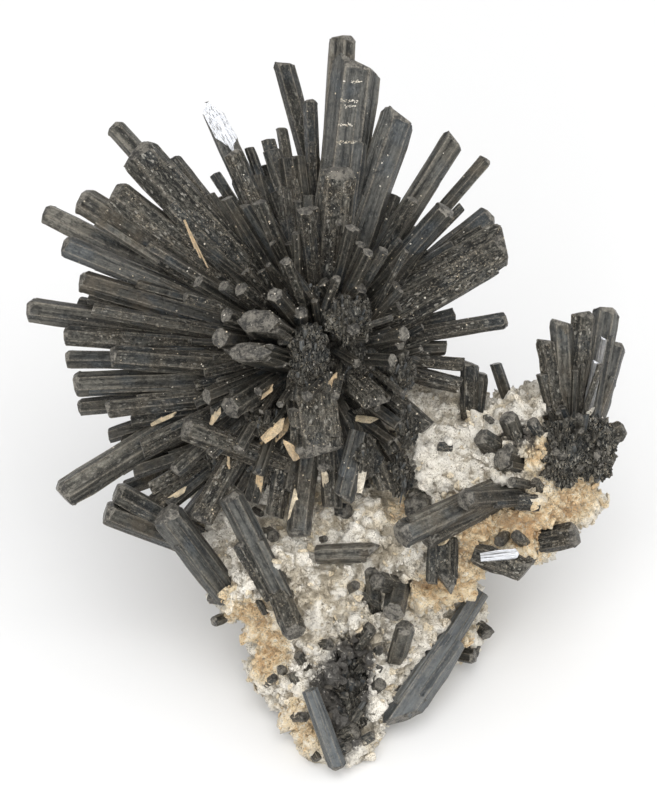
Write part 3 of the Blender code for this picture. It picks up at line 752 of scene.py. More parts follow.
# Lightness, speckle, brown (under 0 it is steel blue) and how strongly a mirror reflection is painted on
# the end face. Over 1, the last number paints that reflection over the whole crystal.
TONES = {
    "pale": (0.95, 0.30, 0.10, 0.0),
    "steel": (0.9, 0.20, -0.90, 0.0),
    "blue": (0.45, 0.15, -0.36, 0.0),
    "tan": (0.85, 0.25, 1.0, 0.0),
    "speckled": (0.50, 1.1, 0.2, 0.0),
    "dark": (0.35, 0.80, 0.15, 0.0),
    "mirror": (0.35, 0.15, 0.1, 1.0),
    "white": (0.9, 0.1, 0.0, 1.75),
    "light": (1.0, 0.2, 0.4, 1.28),
    "smooth": (0.55, 0.10, 0.15, 0.0),
    "glinting": (1.0, 1.8, -0.15, 0.0),
    "dusty": (0.60, 0.95, 0.8, 0.0),
}
print("named tones:", len(TONES))

# %% [markdown]
# The burst is the piece everybody looks at first. Its large crystals stand where the photograph shows
# them, so each is a row of its own: tip measured from the heart, width, thickness, turn, end, and a
# named finish where that crystal has one. The ones at the rim lie back, and the inner ones come
# towards the viewer.

# %% Rows of the burst
HEART = (-2.0, 57.3, -4.5)
CORE_START = 6.0
BURST_RIM = (
    (3.1, 43.2, -1.0, 4.1, 3.2, 40, "blunt", "tan"),
    (5.1, 40.0, 3.5, 6.6, 4.6, 5, "falling", "blue"),
    (10.9, 32.7, 3.0, 5.2, 3.6, 20, "falling", "blue"),
    (18.5, 29.3, 1.0, 3.3, 2.4, 0, "falling", "smooth"),
    (22.7, 26.3, 0.0, 2.1, 1.8, 30, "blunt"),
    (19.3, 19.6, 3.0, 1.3, 1.2, 0, "flat"),
    (23.4, 18.8, -2.0, 3.2, 2.6, 0, "blunt"),
    (25.6, 15.1, 5.0, 6.2, 4.4, 15, "falling", "speckled"),
    (25.5, 4.2, 1.0, 2.3, 2.0, 0, "blunt"),
    (18.5, 4.4, -2.0, 3.2, 2.4, 10, "flat"),
    (17.3, 0.4, 0.0, 2.1, 1.8, 0, "flat"),
    (19.6, -1.9, 2.0, 2.0, 1.8, 20, "flat"),
    (19.2, -4.8, 1.0, 2.4, 2.0, 0, "flat"),
    (-1.4, 34.4, -1.0, 2.0, 1.8, 0, "blunt"),
    (-5.3, 30.6, -2.0, 1.6, 1.5, 0, "flat"),
    (-7.1, 28.9, 0.0, 2.1, 1.9, 20, "flat"),
    (-9.7, 27.8, 0.0, 1.4, 1.3, 0, "flat"),
    (-11.9, 27.0, 5.0, 2.7, 2.2, 10, "blunt"),
    (-15.3, 34.3, -1.0, 1.9, 2.9, -72, "sliver", "mirror"),
    (-28.6, 31.2, -5.0, 2.8, 2.4, 0, "blunt", "pale"),
    (-25.2, 27.3, 4.0, 5.6, 4.2, 10, "blunt", "speckled"),
    (-20.4, 26.4, -2.0, 2.6, 2.4, 0, "flat"),
    (-28.1, 21.7, 4.0, 4.1, 3.2, 15, "blunt", "dusty"),
    (-32.9, 20.9, 0.0, 4.0, 3.0, 0, "blunt", "tan"),
    (-38.0, 19.1, -3.0, 3.2, 2.4, 25, "blunt", "pale"),
    (-35.1, 14.5, 1.0, 3.1, 2.2, 0, "blunt", "blue"),
    (-30.6, 12.0, -2.0, 2.0, 1.8, 0, "flat"),
    (-32.8, 9.6, 2.0, 3.3, 2.0, 15, "blunt"),
    (-33.2, 6.8, -2.0, 1.7, 1.4, 0, "flat"),
    (-31.6, 7.7, -1.0, 2.6, 2.0, 0, "flat"),
    (-30.9, 5.5, 5.0, 2.0, 1.7, 0, "flat"),
    (-40.1, 5.7, 0.0, 3.5, 2.6, 10, "blunt", "smooth"),
)
BURST_INNER = (
    (17.0, 19.0, 11.0, 3.0, 2.5, 0, "blunt"),
    (2.5, 24.2, 13.0, 4.8, 3.2, 0, "blunt", "dusty"),
    (-2.0, 18.4, 16.0, 2.3, 1.9, 0, "flat"),
    (4.1, 16.0, 18.0, 1.6, 1.4, 0, "flat"),
    (6.4, 12.8, 17.0, 1.7, 1.4, 0, "flat"),
    (8.5, 13.2, 14.0, 1.7, 1.4, 0, "flat"),
    (-12.5, 20.4, 10.0, 1.8, 1.5, 0, "flat"),
    (-8.1, 19.8, 12.0, 2.0, 1.7, 20, "flat"),
    (-3.0, 20.0, 9.0, 1.3, 1.2, 0, "flat"),
    (-23.4, 14.2, 6.0, 1.7, 1.4, 0, "flat"),
    (-16.2, 9.0, 16.0, 1.9, 1.6, 0, "flat"),
    (-12.8, 8.4, 17.0, 1.8, 1.6, 0, "flat"),
    (-10.5, 8.0, 18.0, 2.2, 1.8, 15, "flat"),
    (-6.0, 7.2, 19.0, 2.3, 2.0, 0, "flat"),
    (-4.5, 11.6, 18.0, 1.7, 1.4, 0, "flat"),
    (-13.4, 1.5, 18.0, 2.8, 2.6, 0, "blunt"),
    (-12.4, 4.5, 18.0, 2.1, 1.9, 0, "flat"),
    (-15.2, -6.3, 14.0, 2.3, 1.9, 0, "flat"),
    (-12.2, -8.0, 15.0, 3.3, 2.4, 10, "blunt"),
    (11.3, 2.1, 14.0, 2.2, 2.0, 0, "flat"),
    (8.2, -8.0, 14.0, 3.8, 2.2, 35, "point", "speckled"),
    (4.0, -19.5, 6.0, 2.4, 2.0, 0, "flat"),
    (5.8, -18.9, 3.0, 2.4, 2.0, 20, "flat"),
    (-3.0, -25.2, 7.0, 3.4, 3.0, 0, "blunt"),
    (-4.2, -19.3, 5.0, 2.6, 2.0, 0, "flat"),
    (-7.2, -16.0, 4.0, 2.1, 1.8, 0, "flat"),
    (-11.0, -19.0, 3.0, 2.2, 1.8, 0, "flat"),
    (12.6, -18.2, 2.4, 2.4, 2.0, 0, "flat"),
)
# Crystals of the burst that grow from beside the heart: where they start, then as above.
BURST_ASIDE = (
    ((3.2, 9.0, -6.0), (-5.2, 40.1, -4.0, 2.9, 2.3, 0, "falling")),
    ((-4.0, 1.0, 5.0), (-8.4, 3.8, 21.0, 5.8, 3.0, -57, "blunt")),
    ((-4.0, -2.0, 5.0), (-9.7, -0.3, 20.0, 6.2, 2.6, -73, "blunt")),
    ((-5.0, 0.0, 0.0), (-34.9, 2.1, 2.0, 2.8, 2.0, 0, "blunt")),
    ((-5.0, -1.5, -1.0), (-34.9, -1.1, -1.0, 2.9, 2.1, 30, "blunt", "smooth")),
    ((-5.0, -2.5, 1.0), (-28.4, -0.8, 6.0, 3.2, 2.6, 0, "blunt")),
    ((-5.0, -3.5, 0.0), (-33.6, -4.5, 2.0, 3.5, 2.6, 0, "blunt", "smooth")),
    ((-5.0, -5.0, 0.0), (-33.1, -7.7, 0.0, 2.4, 1.8, 0, "blunt")),
    ((-5.0, -5.5, 1.0), (-29.1, -7.9, 3.0, 2.7, 2.2, 20, "blunt")),
    ((-5.0, -6.0, 0.0), (-25.8, -9.4, 1.0, 2.3, 2.0, 0, "flat")),
    ((-13.0, -5.8, -3.0), (-35.0, -19.7, 5.0, 4.2, 2.9, 15, "blunt", "pale")),
    ((-9.0, -6.0, 1.0), (-24.3, -13.4, 4.0, 2.8, 2.2, 0, "flat")),
    ((-9.0, -7.0, 2.0), (-19.7, -16.4, 7.0, 2.1, 1.8, 0, "blunt")),
    ((-8.0, -8.0, 2.0), (-16.3, -23.2, 7.0, 3.5, 2.8, 10, "blunt", "dusty")),
    ((-5.0, -15.2, 4.0), (-18.4, -10.2, 10.0, 3.5, 2.8, 0, "blunt", "dusty")),
    ((-1.6, -3.6, 9.0), (-0.3, -14.4, 11.4, 6.6, 3.2, 0, "blunt", "dusty")),
    ((-13.0, -12.0, -1.0), (-25.6, -16.4, 1.6, 2.4, 2.0, 0, "flat")),
    ((-13.0, -13.0, 0.0), (-23.2, -18.8, 2.4, 2.0, 1.7, 20, "flat", "dusty")),
    ((-12.0, -14.0, 0.0), (-20.6, -21.0, 3.0, 1.9, 1.6, 0, "blunt")),
    ((-13.0, -14.0, -3.0), (-27.0, -18.8, -1.6, 2.2, 1.8, 0, "flat", "tan")),
    ((-12.0, -12.0, -2.0), (-27.4, -12.6, 0.0, 2.2, 1.8, 0, "flat")),
    ((-9.0, -9.0, 2.0), (-14.4, -19.6, 5.0, 2.1, 1.7, 0, "flat", "dusty")),
    ((-6.0, -9.0, 3.0), (-9.4, -20.6, 5.0, 2.5, 2.0, 30, "flat")),
    ((-4.0, -9.0, 3.0), (-6.2, -22.6, 4.6, 2.6, 2.0, 0, "flat", "dusty")),
    ((1.0, -9.0, 3.0), (1.6, -21.4, 5.4, 2.8, 2.2, 10, "flat")),
    ((5.0, -8.0, 3.0), (9.0, -19.0, 4.4, 2.6, 2.0, 0, "flat", "dusty")),
    ((5.4, -11.0, 6.0), (3.0, -20.4, 7.4, 3.0, 2.2, 0, "falling", "blue")),
    ((7.0, -4.0, 4.0), (14.6, -10.6, 6.4, 2.6, 2.0, 0, "flat")),
    ((-3.5, -3.5, -1.0), (-29.0, -11.6, -1.0, 2.2, 1.8, 0, "flat")),
    ((-10.0, -12.0, 0.0), (-23.4, -21.4, 0.5, 2.8, 2.2, 0, "flat", "dusty")),
    ((-10.0, -13.0, 0.0), (-18.8, -23.8, 1.0, 2.6, 2.0, 10, "flat")),
)
print("rows of the burst:", len(BURST_RIM) + len(BURST_INNER) + len(BURST_ASIDE))

# %% [markdown]
# Some places are not crystals to the eye but a dark crumbly mass: the heart between the roots, the two
# rough tufts that stand out of it, and the foot of the side spray. Each is a ball, divided finely and
# pushed about by noise of several sizes, with creases where granules meet.

# %% Dark crumbly masses
def ball_pattern(levels):
    bpy.ops.object.select_all(action="DESELECT")
    bpy.ops.mesh.primitive_ico_sphere_add(subdivisions=levels, radius=1.0)
    ball = bpy.context.object
    bpy.ops.object.mode_set(mode="EDIT")
    return Shape(ball)


BALL, SMALL_BALL = ball_pattern(6), ball_pattern(5)


def crumbly(ball, radii, shift, relief):
    """A point of a ball of radius 1, moved to the skin of a crumbly lump, in millimetres."""
    at = Vector([ball[i] * radii[i] for i in range(3)])
    upright = Vector((at.x, at.y * 0.5, at.z)) + shift
    near_edge, next_edge = noise.voronoi(upright * 1.0)[0][:2]
    close, far = noise.voronoi(upright * 2.6)[0][:2]
    granule = min(1.0, (next_edge - near_edge) * 2.0) + 0.5 * min(1.0, (far - close) * 1.6)
    push = 1.1 * noise.noise(at * 0.42 + shift) + 0.8 * granule + 0.4 * noise.noise(upright * 3.4)
    return at + Vector(ball) * ((push - 0.7) * relief)


def add_mass(bundle, place, radii, finish, relief):
    """A crumbly lump at a place, with radii along right, up and out."""
    shift = Vector([bundle.draw.uniform(0, 50) for _ in range(3)])
    shape = BALL if relief >= 1.0 else SMALL_BALL
    local = np.array([crumbly(ball, radii, shift, relief)[:] for ball in shape.points])
    grain_place = local[:, [0, 2, 1]] + 40.0
    bundle.add(shape, np.array(place) + local @ np.array((RIGHT, UP, OUT)), grain_place, bundle.tone(finish))


def add_jumble(bundle, place, radii, lean, count, lengths, widths):
    """Short rough crystals that start on a lump and lean mostly one way."""
    draw = bundle.draw
    for _ in range(count):
        way = Vector([draw.gauss(0, 1) for _ in range(3)]).normalized()
        if way.z < -0.1:
            continue
        start = [way[i] * radii[i] * 0.86 for i in range(3)]
        start = place + RIGHT * start[0] + UP * start[1] + OUT * start[2]
        aim = Vector(lean) + Vector([draw.gauss(0, 0.34) for _ in range(3)]) + way * 0.35
        aim = (RIGHT * aim.x + UP * aim.y + OUT * aim.z).normalized()
        length, width = draw.uniform(*lengths), draw.uniform(*widths)
        end = draw.choice(("roof", "falling", "blunt", "sliver"))
        finish = draw.choice(("dark", "speckled", "", "steel"))
        root = start - aim * length * 0.5
        bundle.crystal(root, root + aim * length, width, width * 0.6, draw.uniform(0, 180), end, finish)


print("faces of a mass:", len(BALL.faces))

# %% [markdown]
# Between the large crystals a real burst is packed with small ones. The golden angle spreads any
# number of them evenly over a ball, and a seeded draw makes their lengths, widths and roots uneven. A
# denser fan fills the sides that the photograph shows dark. Rough lumps with an upright grain stand in
# the heart, and they are a piece of their own.

# %% Build the burst
# Lumps: place from the heart, radii, relief, number of short crystals and finish. A relief under 1
# is for the small and the hidden ones, which are divided less finely.
HEART_MASSES = (
    ((0.0, 0.0, 0.0), (8.6, 8.6, 7.6), 0.9, 0, "dark"),
    ((-1.8, -0.6, 9.8), (2.9, 3.7, 5.6), 1.0, 260, "glinting"),
    ((3.8, 4.4, 9.0), (2.9, 2.9, 5.0), 1.2, 230, "glinting"),
    ((6.0, -1.6, 6.6), (3.4, 3.2, 3.8), 0.9, 90, "dark"),
    ((-2.0, 7.6, 7.0), (3.0, 2.2, 3.0), 0.9, 60, "dark"),
    ((10.6, -3.4, 8.2), (1.9, 2.7, 3.0), 0.9, 60, "speckled"),
    ((11.6, -10.4, 6.0), (1.5, 2.5, 2.6), 0.9, 45, "speckled"),
    ((11.0, -17.0, 3.4), (1.5, 2.5, 2.2), 0.9, 40, "speckled"),
    ((6.4, -14.5, 6.6), (1.5, 2.2, 2.0), 0.9, 40, "dark"),
    ((-13.0, -14.0, 2.0), (3.0, 2.4, 2.2), 0.9, 60, "dusty"),
    ((-8.0, -16.5, 2.6), (2.2, 2.4, 2.0), 0.9, 50, "dark"),
    ((-7.6, -9.6, 7.0), (2.4, 2.0, 2.4), 0.9, 50, "dusty"),
)
UPRIGHT = (0.12, 1.0, 0.45)  # which way the short crystals of the heart lean: right, up and out
SHORT_LENGTHS, SHORT_WIDTHS = (1.4, 3.4), (0.28, 0.85)
NEEDLES = 230
NEEDLE_LENGTHS, NEEDLE_WIDTHS = (13.0, 24.0), (0.8, 2.2)
FAN_WIDTHS = (1.5, 2.7)
BEHIND = 26
BEHIND_LEANS, BEHIND_LENGTHS, BEHIND_WIDTHS = (-48, -12), (21.0, 29.0), (1.8, 3.8)
FLATNESS = 0.8  # thickness of a filling crystal, as a share of its width
SHORT_SIDE = 15.0  # how far the small ones may reach on the right, where the photograph is white
# Fans of filling crystals: first and last bearing in degrees, lean in and out, lengths and number.
FANS = (
    ((95, 215), (-9, 5), (22.0, 29.0), 36),
    ((60, 130), (-10, 6), (19.0, 27.0), 22),
    ((28, 60), (-12, 4), (14.0, 20.0), 9),
    ((205, 255), (-6, 12), (15.0, 21.5), 16),
    ((250, 320), (0, 20), (12.0, 18.0), 12),
)


def from_heart(vector):
    return face_point(*(Vector(HEART) + Vector(vector)))


def on_ball(bearing, lean):
    """The direction at this bearing round the heart and this lean towards the viewer, in degrees."""
    bearing, lean = math.radians(bearing), math.radians(lean)
    flat = math.cos(lean)
    return Vector((flat * math.cos(bearing), flat * math.sin(bearing), math.sin(lean)))


def shaken(vector, draw, most):
    return vector + Vector([draw.uniform(-most, most) for _ in range(3)])


def add_large_crystals(bundle):
    for right, up, out, width, thick, turn, end, *finish in BURST_RIM + BURST_INNER:
        tip = Vector((right, up, out))
        root = from_heart(tip.normalized() * CORE_START)
        bundle.grown(root, from_heart(tip), width, thick, turn, end, *finish)
    for root, (right, up, out, width, thick, turn, end, *finish) in BURST_ASIDE:
        bundle.grown(from_heart(root), from_heart((right, up, out)), width, thick, turn, end, *finish)


def add_needles(bundle):
    draw = bundle.draw
    for i in range(NEEDLES):
        out = -0.55 + 1.50 * (i + 0.5) / NEEDLES
        way = on_ball(math.degrees(i * GOLDEN), math.degrees(math.asin(out)))
        if way.y < -0.35 and out < 0.3 or way.x > 0.1 and way.y < -0.3 and i % 3:
            continue
        length = draw.uniform(*NEEDLE_LENGTHS) - 3.5 * max(out, 0) + 3.0 * max(way.y, 0)
        if way.x > 0.7 and abs(way.y) < 0.45:
            length = min(length, SHORT_SIDE)
        width = draw.uniform(*NEEDLE_WIDTHS)
        end = draw.choice(("flat", "flat", "blunt", "falling"))
        root = from_heart(shaken(way * CORE_START, draw, 2.4))
        bundle.crystal(root, from_heart(way * length), width, width * FLATNESS, draw.uniform(0, 90), end)


def add_fans(bundle):
    draw = bundle.draw
    for (first, last), leans, lengths, count in FANS:
        for i in range(count):
            bearing = first + (last - first) * (i + draw.uniform(0.2, 0.8)) / count
            way = on_ball(bearing, draw.uniform(*leans))
            width = draw.uniform(*FAN_WIDTHS)
            tip = from_heart(way * draw.uniform(*lengths))
            root = from_heart(shaken(way * CORE_START, draw, 1.8))
            bundle.crystal(root, tip, width, width * FLATNESS, draw.uniform(0, 60), "flat")


def add_back_crystals(bundle):
    draw = bundle.draw
    for i in range(BEHIND):
        way = on_ball(32 + 152 * (i + 0.5) / BEHIND, draw.uniform(*BEHIND_LEANS))
        width = draw.uniform(*BEHIND_WIDTHS)
        tip = from_heart(way * draw.uniform(*BEHIND_LENGTHS))
        bundle.grown(from_heart(way * 5.0), tip, width, width * FLATNESS, draw.uniform(0, 60), "blunt")


burst = Bundle(11)
add_large_crystals(burst)
add_back_crystals(burst)
add_needles(burst)
add_fans(burst)
burst.piece("burst", stibnite, "stibnite", ["main_spray"])
core = Bundle(12)
for spot, radii, relief, short, finish in HEART_MASSES:
    add_mass(core, from_heart(spot), radii, finish, relief)
    add_jumble(core, from_heart(spot), radii, UPRIGHT, short, SHORT_LENGTHS, SHORT_WIDTHS)
core.piece("burst_core", stibnite, "stibnite")

# %% [markdown]
# The side spray is a bundle of stout crystals that leave one rough root. The photograph shows it
# brown and finely grooved, with a blunt end on each crystal and a dark crumbly foot. The lower spray
# is a small dark tuft in a hollow of the rock, so it is only crumbly lumps full of short crystals.

# %% Build the two small sprays
SIDE_SEAT, SIDE_START = (32.6, 45.0, -7.0), 2.0
SIDE_TIPS = (
    (-4.0, 14.2, 4.0, 2.9, 2.4, 10, "falling", "dusty"),
    (-1.9, 16.9, 4.0, 3.2, 2.6, 0, "falling", "tan"),
    (1.2, 17.8, 3.0, 3.6, 2.8, 20, "blunt", "speckled"),
    (4.8, 18.4, -1.0, 3.8, 3.0, 0, "blunt", "blue"),
    (6.2, 13.6, -2.0, 3.1, 2.4, 10, "blunt", "blue"),
    (5.2, 9.0, 0.0, 2.3, 2.0, 0, "flat"),
    (7.2, 1.6, -1.0, 3.0, 2.4, 0, "blunt"),
    (-4.2, 9.4, 3.0, 2.2, 1.8, 0, "flat"),
    (3.9, 14.2, 4.6, 1.0, 0.7, 0, "falling", "light"),
    (2.9, 11.0, 4.7, 1.1, 0.7, 0, "falling", "light"),
    (1.8, 11.6, 6.0, 2.0, 1.6, 0, "flat"),
    (-1.6, 12.0, -6.0, 2.6, 2.0, 0, "flat"),
    (2.4, 11.0, -8.0, 2.8, 2.1, 20, "flat"),
    (5.0, 6.0, -7.0, 2.4, 1.8, 0, "flat"),
    (4.8, -2.2, 1.0, 2.2, 1.8, 0, "flat"),
    (-2.6, 5.6, 7.0, 3.0, 2.4, 10, "flat"),
    (1.6, 2.6, 7.6, 3.2, 2.4, 40, "flat"),
    (-1.6, -1.6, 7.0, 3.0, 2.6, 20, "flat"),
    (2.4, -4.6, 6.0, 2.6, 2.2, 0, "flat"),
    (-4.2, 1.6, 5.6, 2.4, 2.0, 0, "flat"),
)
STRAIGHT_OUT = 5.0  # a tip this far out points at the viewer
SIDE_PARTS = 2  # slim crystals in place of one that points at the viewer
SIDE_BETWEEN = 16
SIDE_LEAN, LOWER_LEAN = (0.1, 0.8, 0.4), (0.35, 0.6, 0.5)


def add_spray(bundle, seat, tips, start, parts):
    """The rows of a spray. A crystal that comes straight out is split in slim ones, side by side."""
    draw = bundle.draw
    for right, up, out, width, thick, turn, end, *finish in tips:
        tip = Vector((right, up, out))
        root = face_point(*(Vector(seat) + tip.normalized() * start + RIGHT * right * 0.3))
        if out < STRAIGHT_OUT:
            bundle.grown(root, face_point(*(Vector(seat) + tip)), width, thick, turn, end, *finish)
            continue
        for _ in range(parts):
            spot = face_point(*(Vector(seat) + shaken(tip * draw.uniform(0.75, 0.95), draw, 1.8)))
            narrow = width * draw.uniform(0.3, 0.55)
            bundle.crystal(root, spot, narrow, narrow * 0.7, draw.uniform(0, 180), "blunt", "dark")


def add_between(bundle, seat, tips, start, count):
    """Slimmer crystals between those of the rows."""
    draw = bundle.draw
    for _ in range(count):
        *tip, width, thick, turn, end = draw.choice(tips)[:7]
        tip = shaken(Vector(tip) * draw.uniform(0.5, 0.85), draw, 1.6)
        root = face_point(*(Vector(seat) + tip.normalized() * start))
        width *= draw.uniform(0.3, 0.6)
        bundle.crystal(root, face_point(*(Vector(seat) + tip)), width, width * 0.8, turn, "flat")


# Crumbly feet: place, radii, relief and number of short crystals.
SIDE_MASSES = (
    ((30.8, 43.6, -4.8), (3.8, 4.8, 4.2), 1.3, 110),
    ((34.4, 44.6, -6.6), (3.6, 4.6, 4.2), 1.3, 110),
    ((36.4, 42.8, -8.4), (1.8, 3.0, 2.4), 0.9, 30),
    ((28.2, 45.4, -5.8), (2.2, 2.0, 2.2), 0.9, 40),
)
LOWER_MASSES = (
    ((1.6, 12.4, -3.6), (2.6, 3.6, 2.8), 1.2, 70),
    ((2.6, 8.4, -2.4), (2.2, 2.8, 2.2), 1.1, 40),
)
side_spray = Bundle(5)
add_spray(side_spray, SIDE_SEAT, SIDE_TIPS, SIDE_START, SIDE_PARTS)
add_between(side_spray, SIDE_SEAT, SIDE_TIPS, SIDE_START, SIDE_BETWEEN)
for spot, radii, relief, short in SIDE_MASSES:
    add_mass(side_spray, face_point(*spot), radii, "glinting", relief)
    add_jumble(side_spray, face_point(*spot), radii, SIDE_LEAN, short, (1.4, 3.2), (0.4, 1.3))
side_spray.piece("side_tuft", stibnite, "stibnite", ["side_spray"])
lower_spray = Bundle(8)
for spot, radii, relief, short in LOWER_MASSES:
    add_mass(lower_spray, face_point(*spot), radii, "dark", relief)
    add_jumble(lower_spray, face_point(*spot), radii, LOWER_LEAN, short, SHORT_LENGTHS, (0.4, 1.3))
lower_spray.piece("lower_tuft", stibnite, "stibnite", ["lower_spray"])

# %% [markdown]
# The loose crystals each have a node of their own in the frame, alone or as a small group. They are
# made the same way as the rest, one piece for each node, so that a piece can be looked at by itself.

# %% Build the crystals set in the rock
# For each node: root, tip, width, thickness, turn, end and a named finish where a crystal has one.
SET_IN_MATRIX = {
    "left_crystal": (((-15.0, 24.6, -4.0), (-22.9, 35.8, 4.0), 4.4, 3.2, 10, "blunt", "blue"),),
    "left_pair": (
        ((-15.0, 29.0, -9.0), (-31.3, 35.6, -2.0), 3.6, 2.8, 0, "blunt"),
        ((-15.0, 29.8, -8.0), (-29.8, 38.4, -1.0), 3.2, 2.6, 20, "blunt"),
    ),
    "striped_crystal": (
        ((-7.0, 23.6, 0.0), (-14.2, 38.2, 4.0), 3.5, 3.0, 0, "blunt", "blue"),
        ((-8.4, 24.0, 0.0), (-12.8, 31.8, 2.6), 2.8, 2.0, 20, "blunt"),
        ((-8.2, 26.0, -1.0), (-5.2, 19.2, 5.5), 3.3, 2.6, 0, "blunt"),
    ),
    "front_blade": (
        ((24.6, 39.4, -4.0), (8.4, 32.6, 9.0), 3.9, 3.2, 0, "blunt", "tan"),
        ((25.2, 37.6, -4.0), (17.0, 37.4, 7.0), 3.0, 2.6, 10, "blunt"),
        ((22.6, 37.0, -4.0), (12.0, 31.9, 6.0), 2.6, 2.2, 0, "flat"),
    ),
    "stub_crystal": (((12.0, 38.0, -7.0), (10.9, 35.8, 2.4), 3.9, 3.0, 0, "blunt"),),
    "leaf_crystal": (((-2.6, 29.8, 0.6), (6.0, 30.2, 2.4), 2.7, 2.0, 0, "point", "tan"),),
    "wedge_crystal": (((14.6, 31.6, -1.0), (14.2, 25.0, 3.0), 4.2, 2.6, 0, "point"),),
    "bright_crystal": (
        ((19.0, 29.8, -2.0), (26.4, 27.4, 0.6), 3.4, 2.6, 0, "falling", "speckled"),
        ((19.6, 29.4, 1.0), (24.8, 30.0, 1.2), 1.5, 1.0, 20, "roof", "white"),
    ),
    "edge_crystal": (((27.0, 31.0, -8.0), (33.2, 32.4, -4.5), 3.6, 2.8, 0, "blunt"),),
    "standing_crystal": (((8.4, 15.4, -4.0), (9.5, 20.4, 3.4), 2.7, 2.2, 0, "blunt", "pale"),),
    "middle_cluster": (
        ((9.0, 26.2, -4.0), (7.7, 22.0, 5.4), 3.2, 2.4, 0, "blunt"),
        ((9.4, 25.2, -4.0), (5.4, 26.6, 4.6), 2.6, 2.0, 0, "blunt"),
        ((5.6, 21.0, -4.0), (4.9, 27.8, 2.6), 1.9, 1.6, 0, "flat"),
    ),
    "lower_blade": (
        ((19.8, 24.2, -9.5), (8.9, 7.6, -3.0), 2.7, 2.4, 0, "blunt", "steel"),
        ((16.2, 17.8, -7.0), (7.6, 5.8, -2.4), 4.6, 2.8, 180, "point", "steel"),
    ),
    "foot_crystal": (((-3.4, 11.8, 3.4), (0.5, 1.0, 1.6), 2.5, 2.0, 0, "blunt", "steel"),),
    "ridge_block": (
        ((18.4, 48.0, -8.0), (18.4, 56.2, -6.0), 2.6, 2.2, 0, "falling"),
        ((19.4, 48.0, -9.2), (19.9, 54.6, -7.6), 2.4, 2.2, 0, "flat"),
    ),
    "ridge_stub": (((24.6, 49.0, -13.0), (22.2, 55.8, -11.0), 1.7, 1.5, 0, "flat"),),
    "right_cluster": (
        ((26.0, 42.6, -6.0), (23.2, 48.6, 0.4), 2.6, 2.0, 0, "blunt"),
        ((25.8, 42.0, -6.0), (19.4, 45.8, 0.4), 2.6, 2.0, 0, "blunt"),
        ((26.2, 41.8, -6.0), (22.2, 42.8, 1.6), 3.2, 2.4, 10, "blunt"),
    ),
}

for number, (node, rows) in enumerate(SET_IN_MATRIX.items()):
    group = Bundle(100 + number)
    for root, tip, width, thick, turn, end, *finish in rows:
        group.grown(face_point(*root), face_point(*tip), width, thick, turn, end, *finish)
    group.piece(node + "_faces", stibnite, "stibnite", [node])

# %% [markdown]
# The rock's own solid is a faceted block, so its skin is made anew. A copy of the solid is welded,
# remeshed finely and pushed in and out by noise: broad rises, fluffy lumps with sharp creases between
# them, and sugar. The underside stays level, because the part rests on it.

# %% Skin of the matrix
SKIN_VOXEL = 0.42
FLAT_ZONE = 1.2  # over this height above the underside the relief fades in


def crumble(at):
    """How far the skin moves at a place, in millimetres."""
    broad = 1.1 * noise.noise(at * 0.24) + 0.5 * noise.noise(at * 0.6 + Vector((9, 1, 4)))
    fluff = 2.4 * abs(noise.noise(at * 0.42 + Vector((2, 7, 1)))) + 1.2 * abs(noise.noise(at * 1.1))
    close, far = noise.voronoi(at * 1.5)[0][:2]
    sugar = 0.45 * min(1.0, (far - close) * 2.0)
    return broad + fluff + sugar - 1.0


def rock_skin():
    skin = bpy.data.objects.new("crust_skin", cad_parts["matrix"].data.copy())
    bpy.context.scene.collection.objects.link(skin)
    only(skin)
    bpy.ops.object.mode_set(mode="EDIT")
    bpy.ops.mesh.select_all(action="SELECT")
    bpy.ops.mesh.remove_doubles(threshold=0.000002)
    bpy.ops.object.mode_set(mode="OBJECT")
    remesh = skin.modifiers.new("even skin", "REMESH")
    remesh.mode = "VOXEL"
    remesh.voxel_size = SKIN_VOXEL * MM
    bpy.ops.object.modifier_apply(modifier=remesh.name)
    moved, pushes = [], []
    for vert in skin.data.vertices:
        at = vert.co / MM
        fade = min(1.0, max(0.0, at.z / FLAT_ZONE))
        push = crumble(at) * fade
        to = at + vert.normal * push
        moved += (to.x * MM, to.y * MM, max(to.z, 0.0) * MM)
        pushes.append(push)
    skin.data.vertices.foreach_set("co", moved)
    skin.data.update()
    skin.data.attributes.new("depth", "FLOAT", "POINT").data.foreach_set("value", pushes)
    skin.data.materials.clear()
    skin.data.materials.append(crust.material)
    bpy.ops.object.shade_smooth()
    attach(skin, "root")
    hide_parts("matrix")
    print("crust_skin triangles:", 2 * len(skin.data.polygons))
    return skin


def tree_of(piece):
    """A tree in which the place where a line first meets the piece is found fast."""
    points = [vert.co / MM for vert in piece.data.vertices]
    return BVHTree.FromPolygons(points, [tuple(face.vertices) for face in piece.data.polygons])


rock = rock_skin()
ROCK = tree_of(rock)

# %% [markdown]
# Chips and grains are strewn over the skin by a seeded draw of its faces. Each leans away from the
# surface by chance. Some are tan, which they store as their own tone. None lies under an overhang or
# near the underside, where it would lift the part.

# %% Strew the crust
CHIPS, GRAINS = 3800, 3000
LOWEST_CHIP = 1.0  # none lies under this height
OVERHANG = -0.6  # nor where the skin faces down more than this


def turned(normal, draw, lean):
    """Three axes, the last of them near the normal."""
    top = (normal + Vector([draw.gauss(0, lean) for _ in range(3)])).normalized()
    side = top.cross(Vector([draw.uniform(-1, 1) for _ in range(3)])).normalized()
    return side, top.cross(side), top


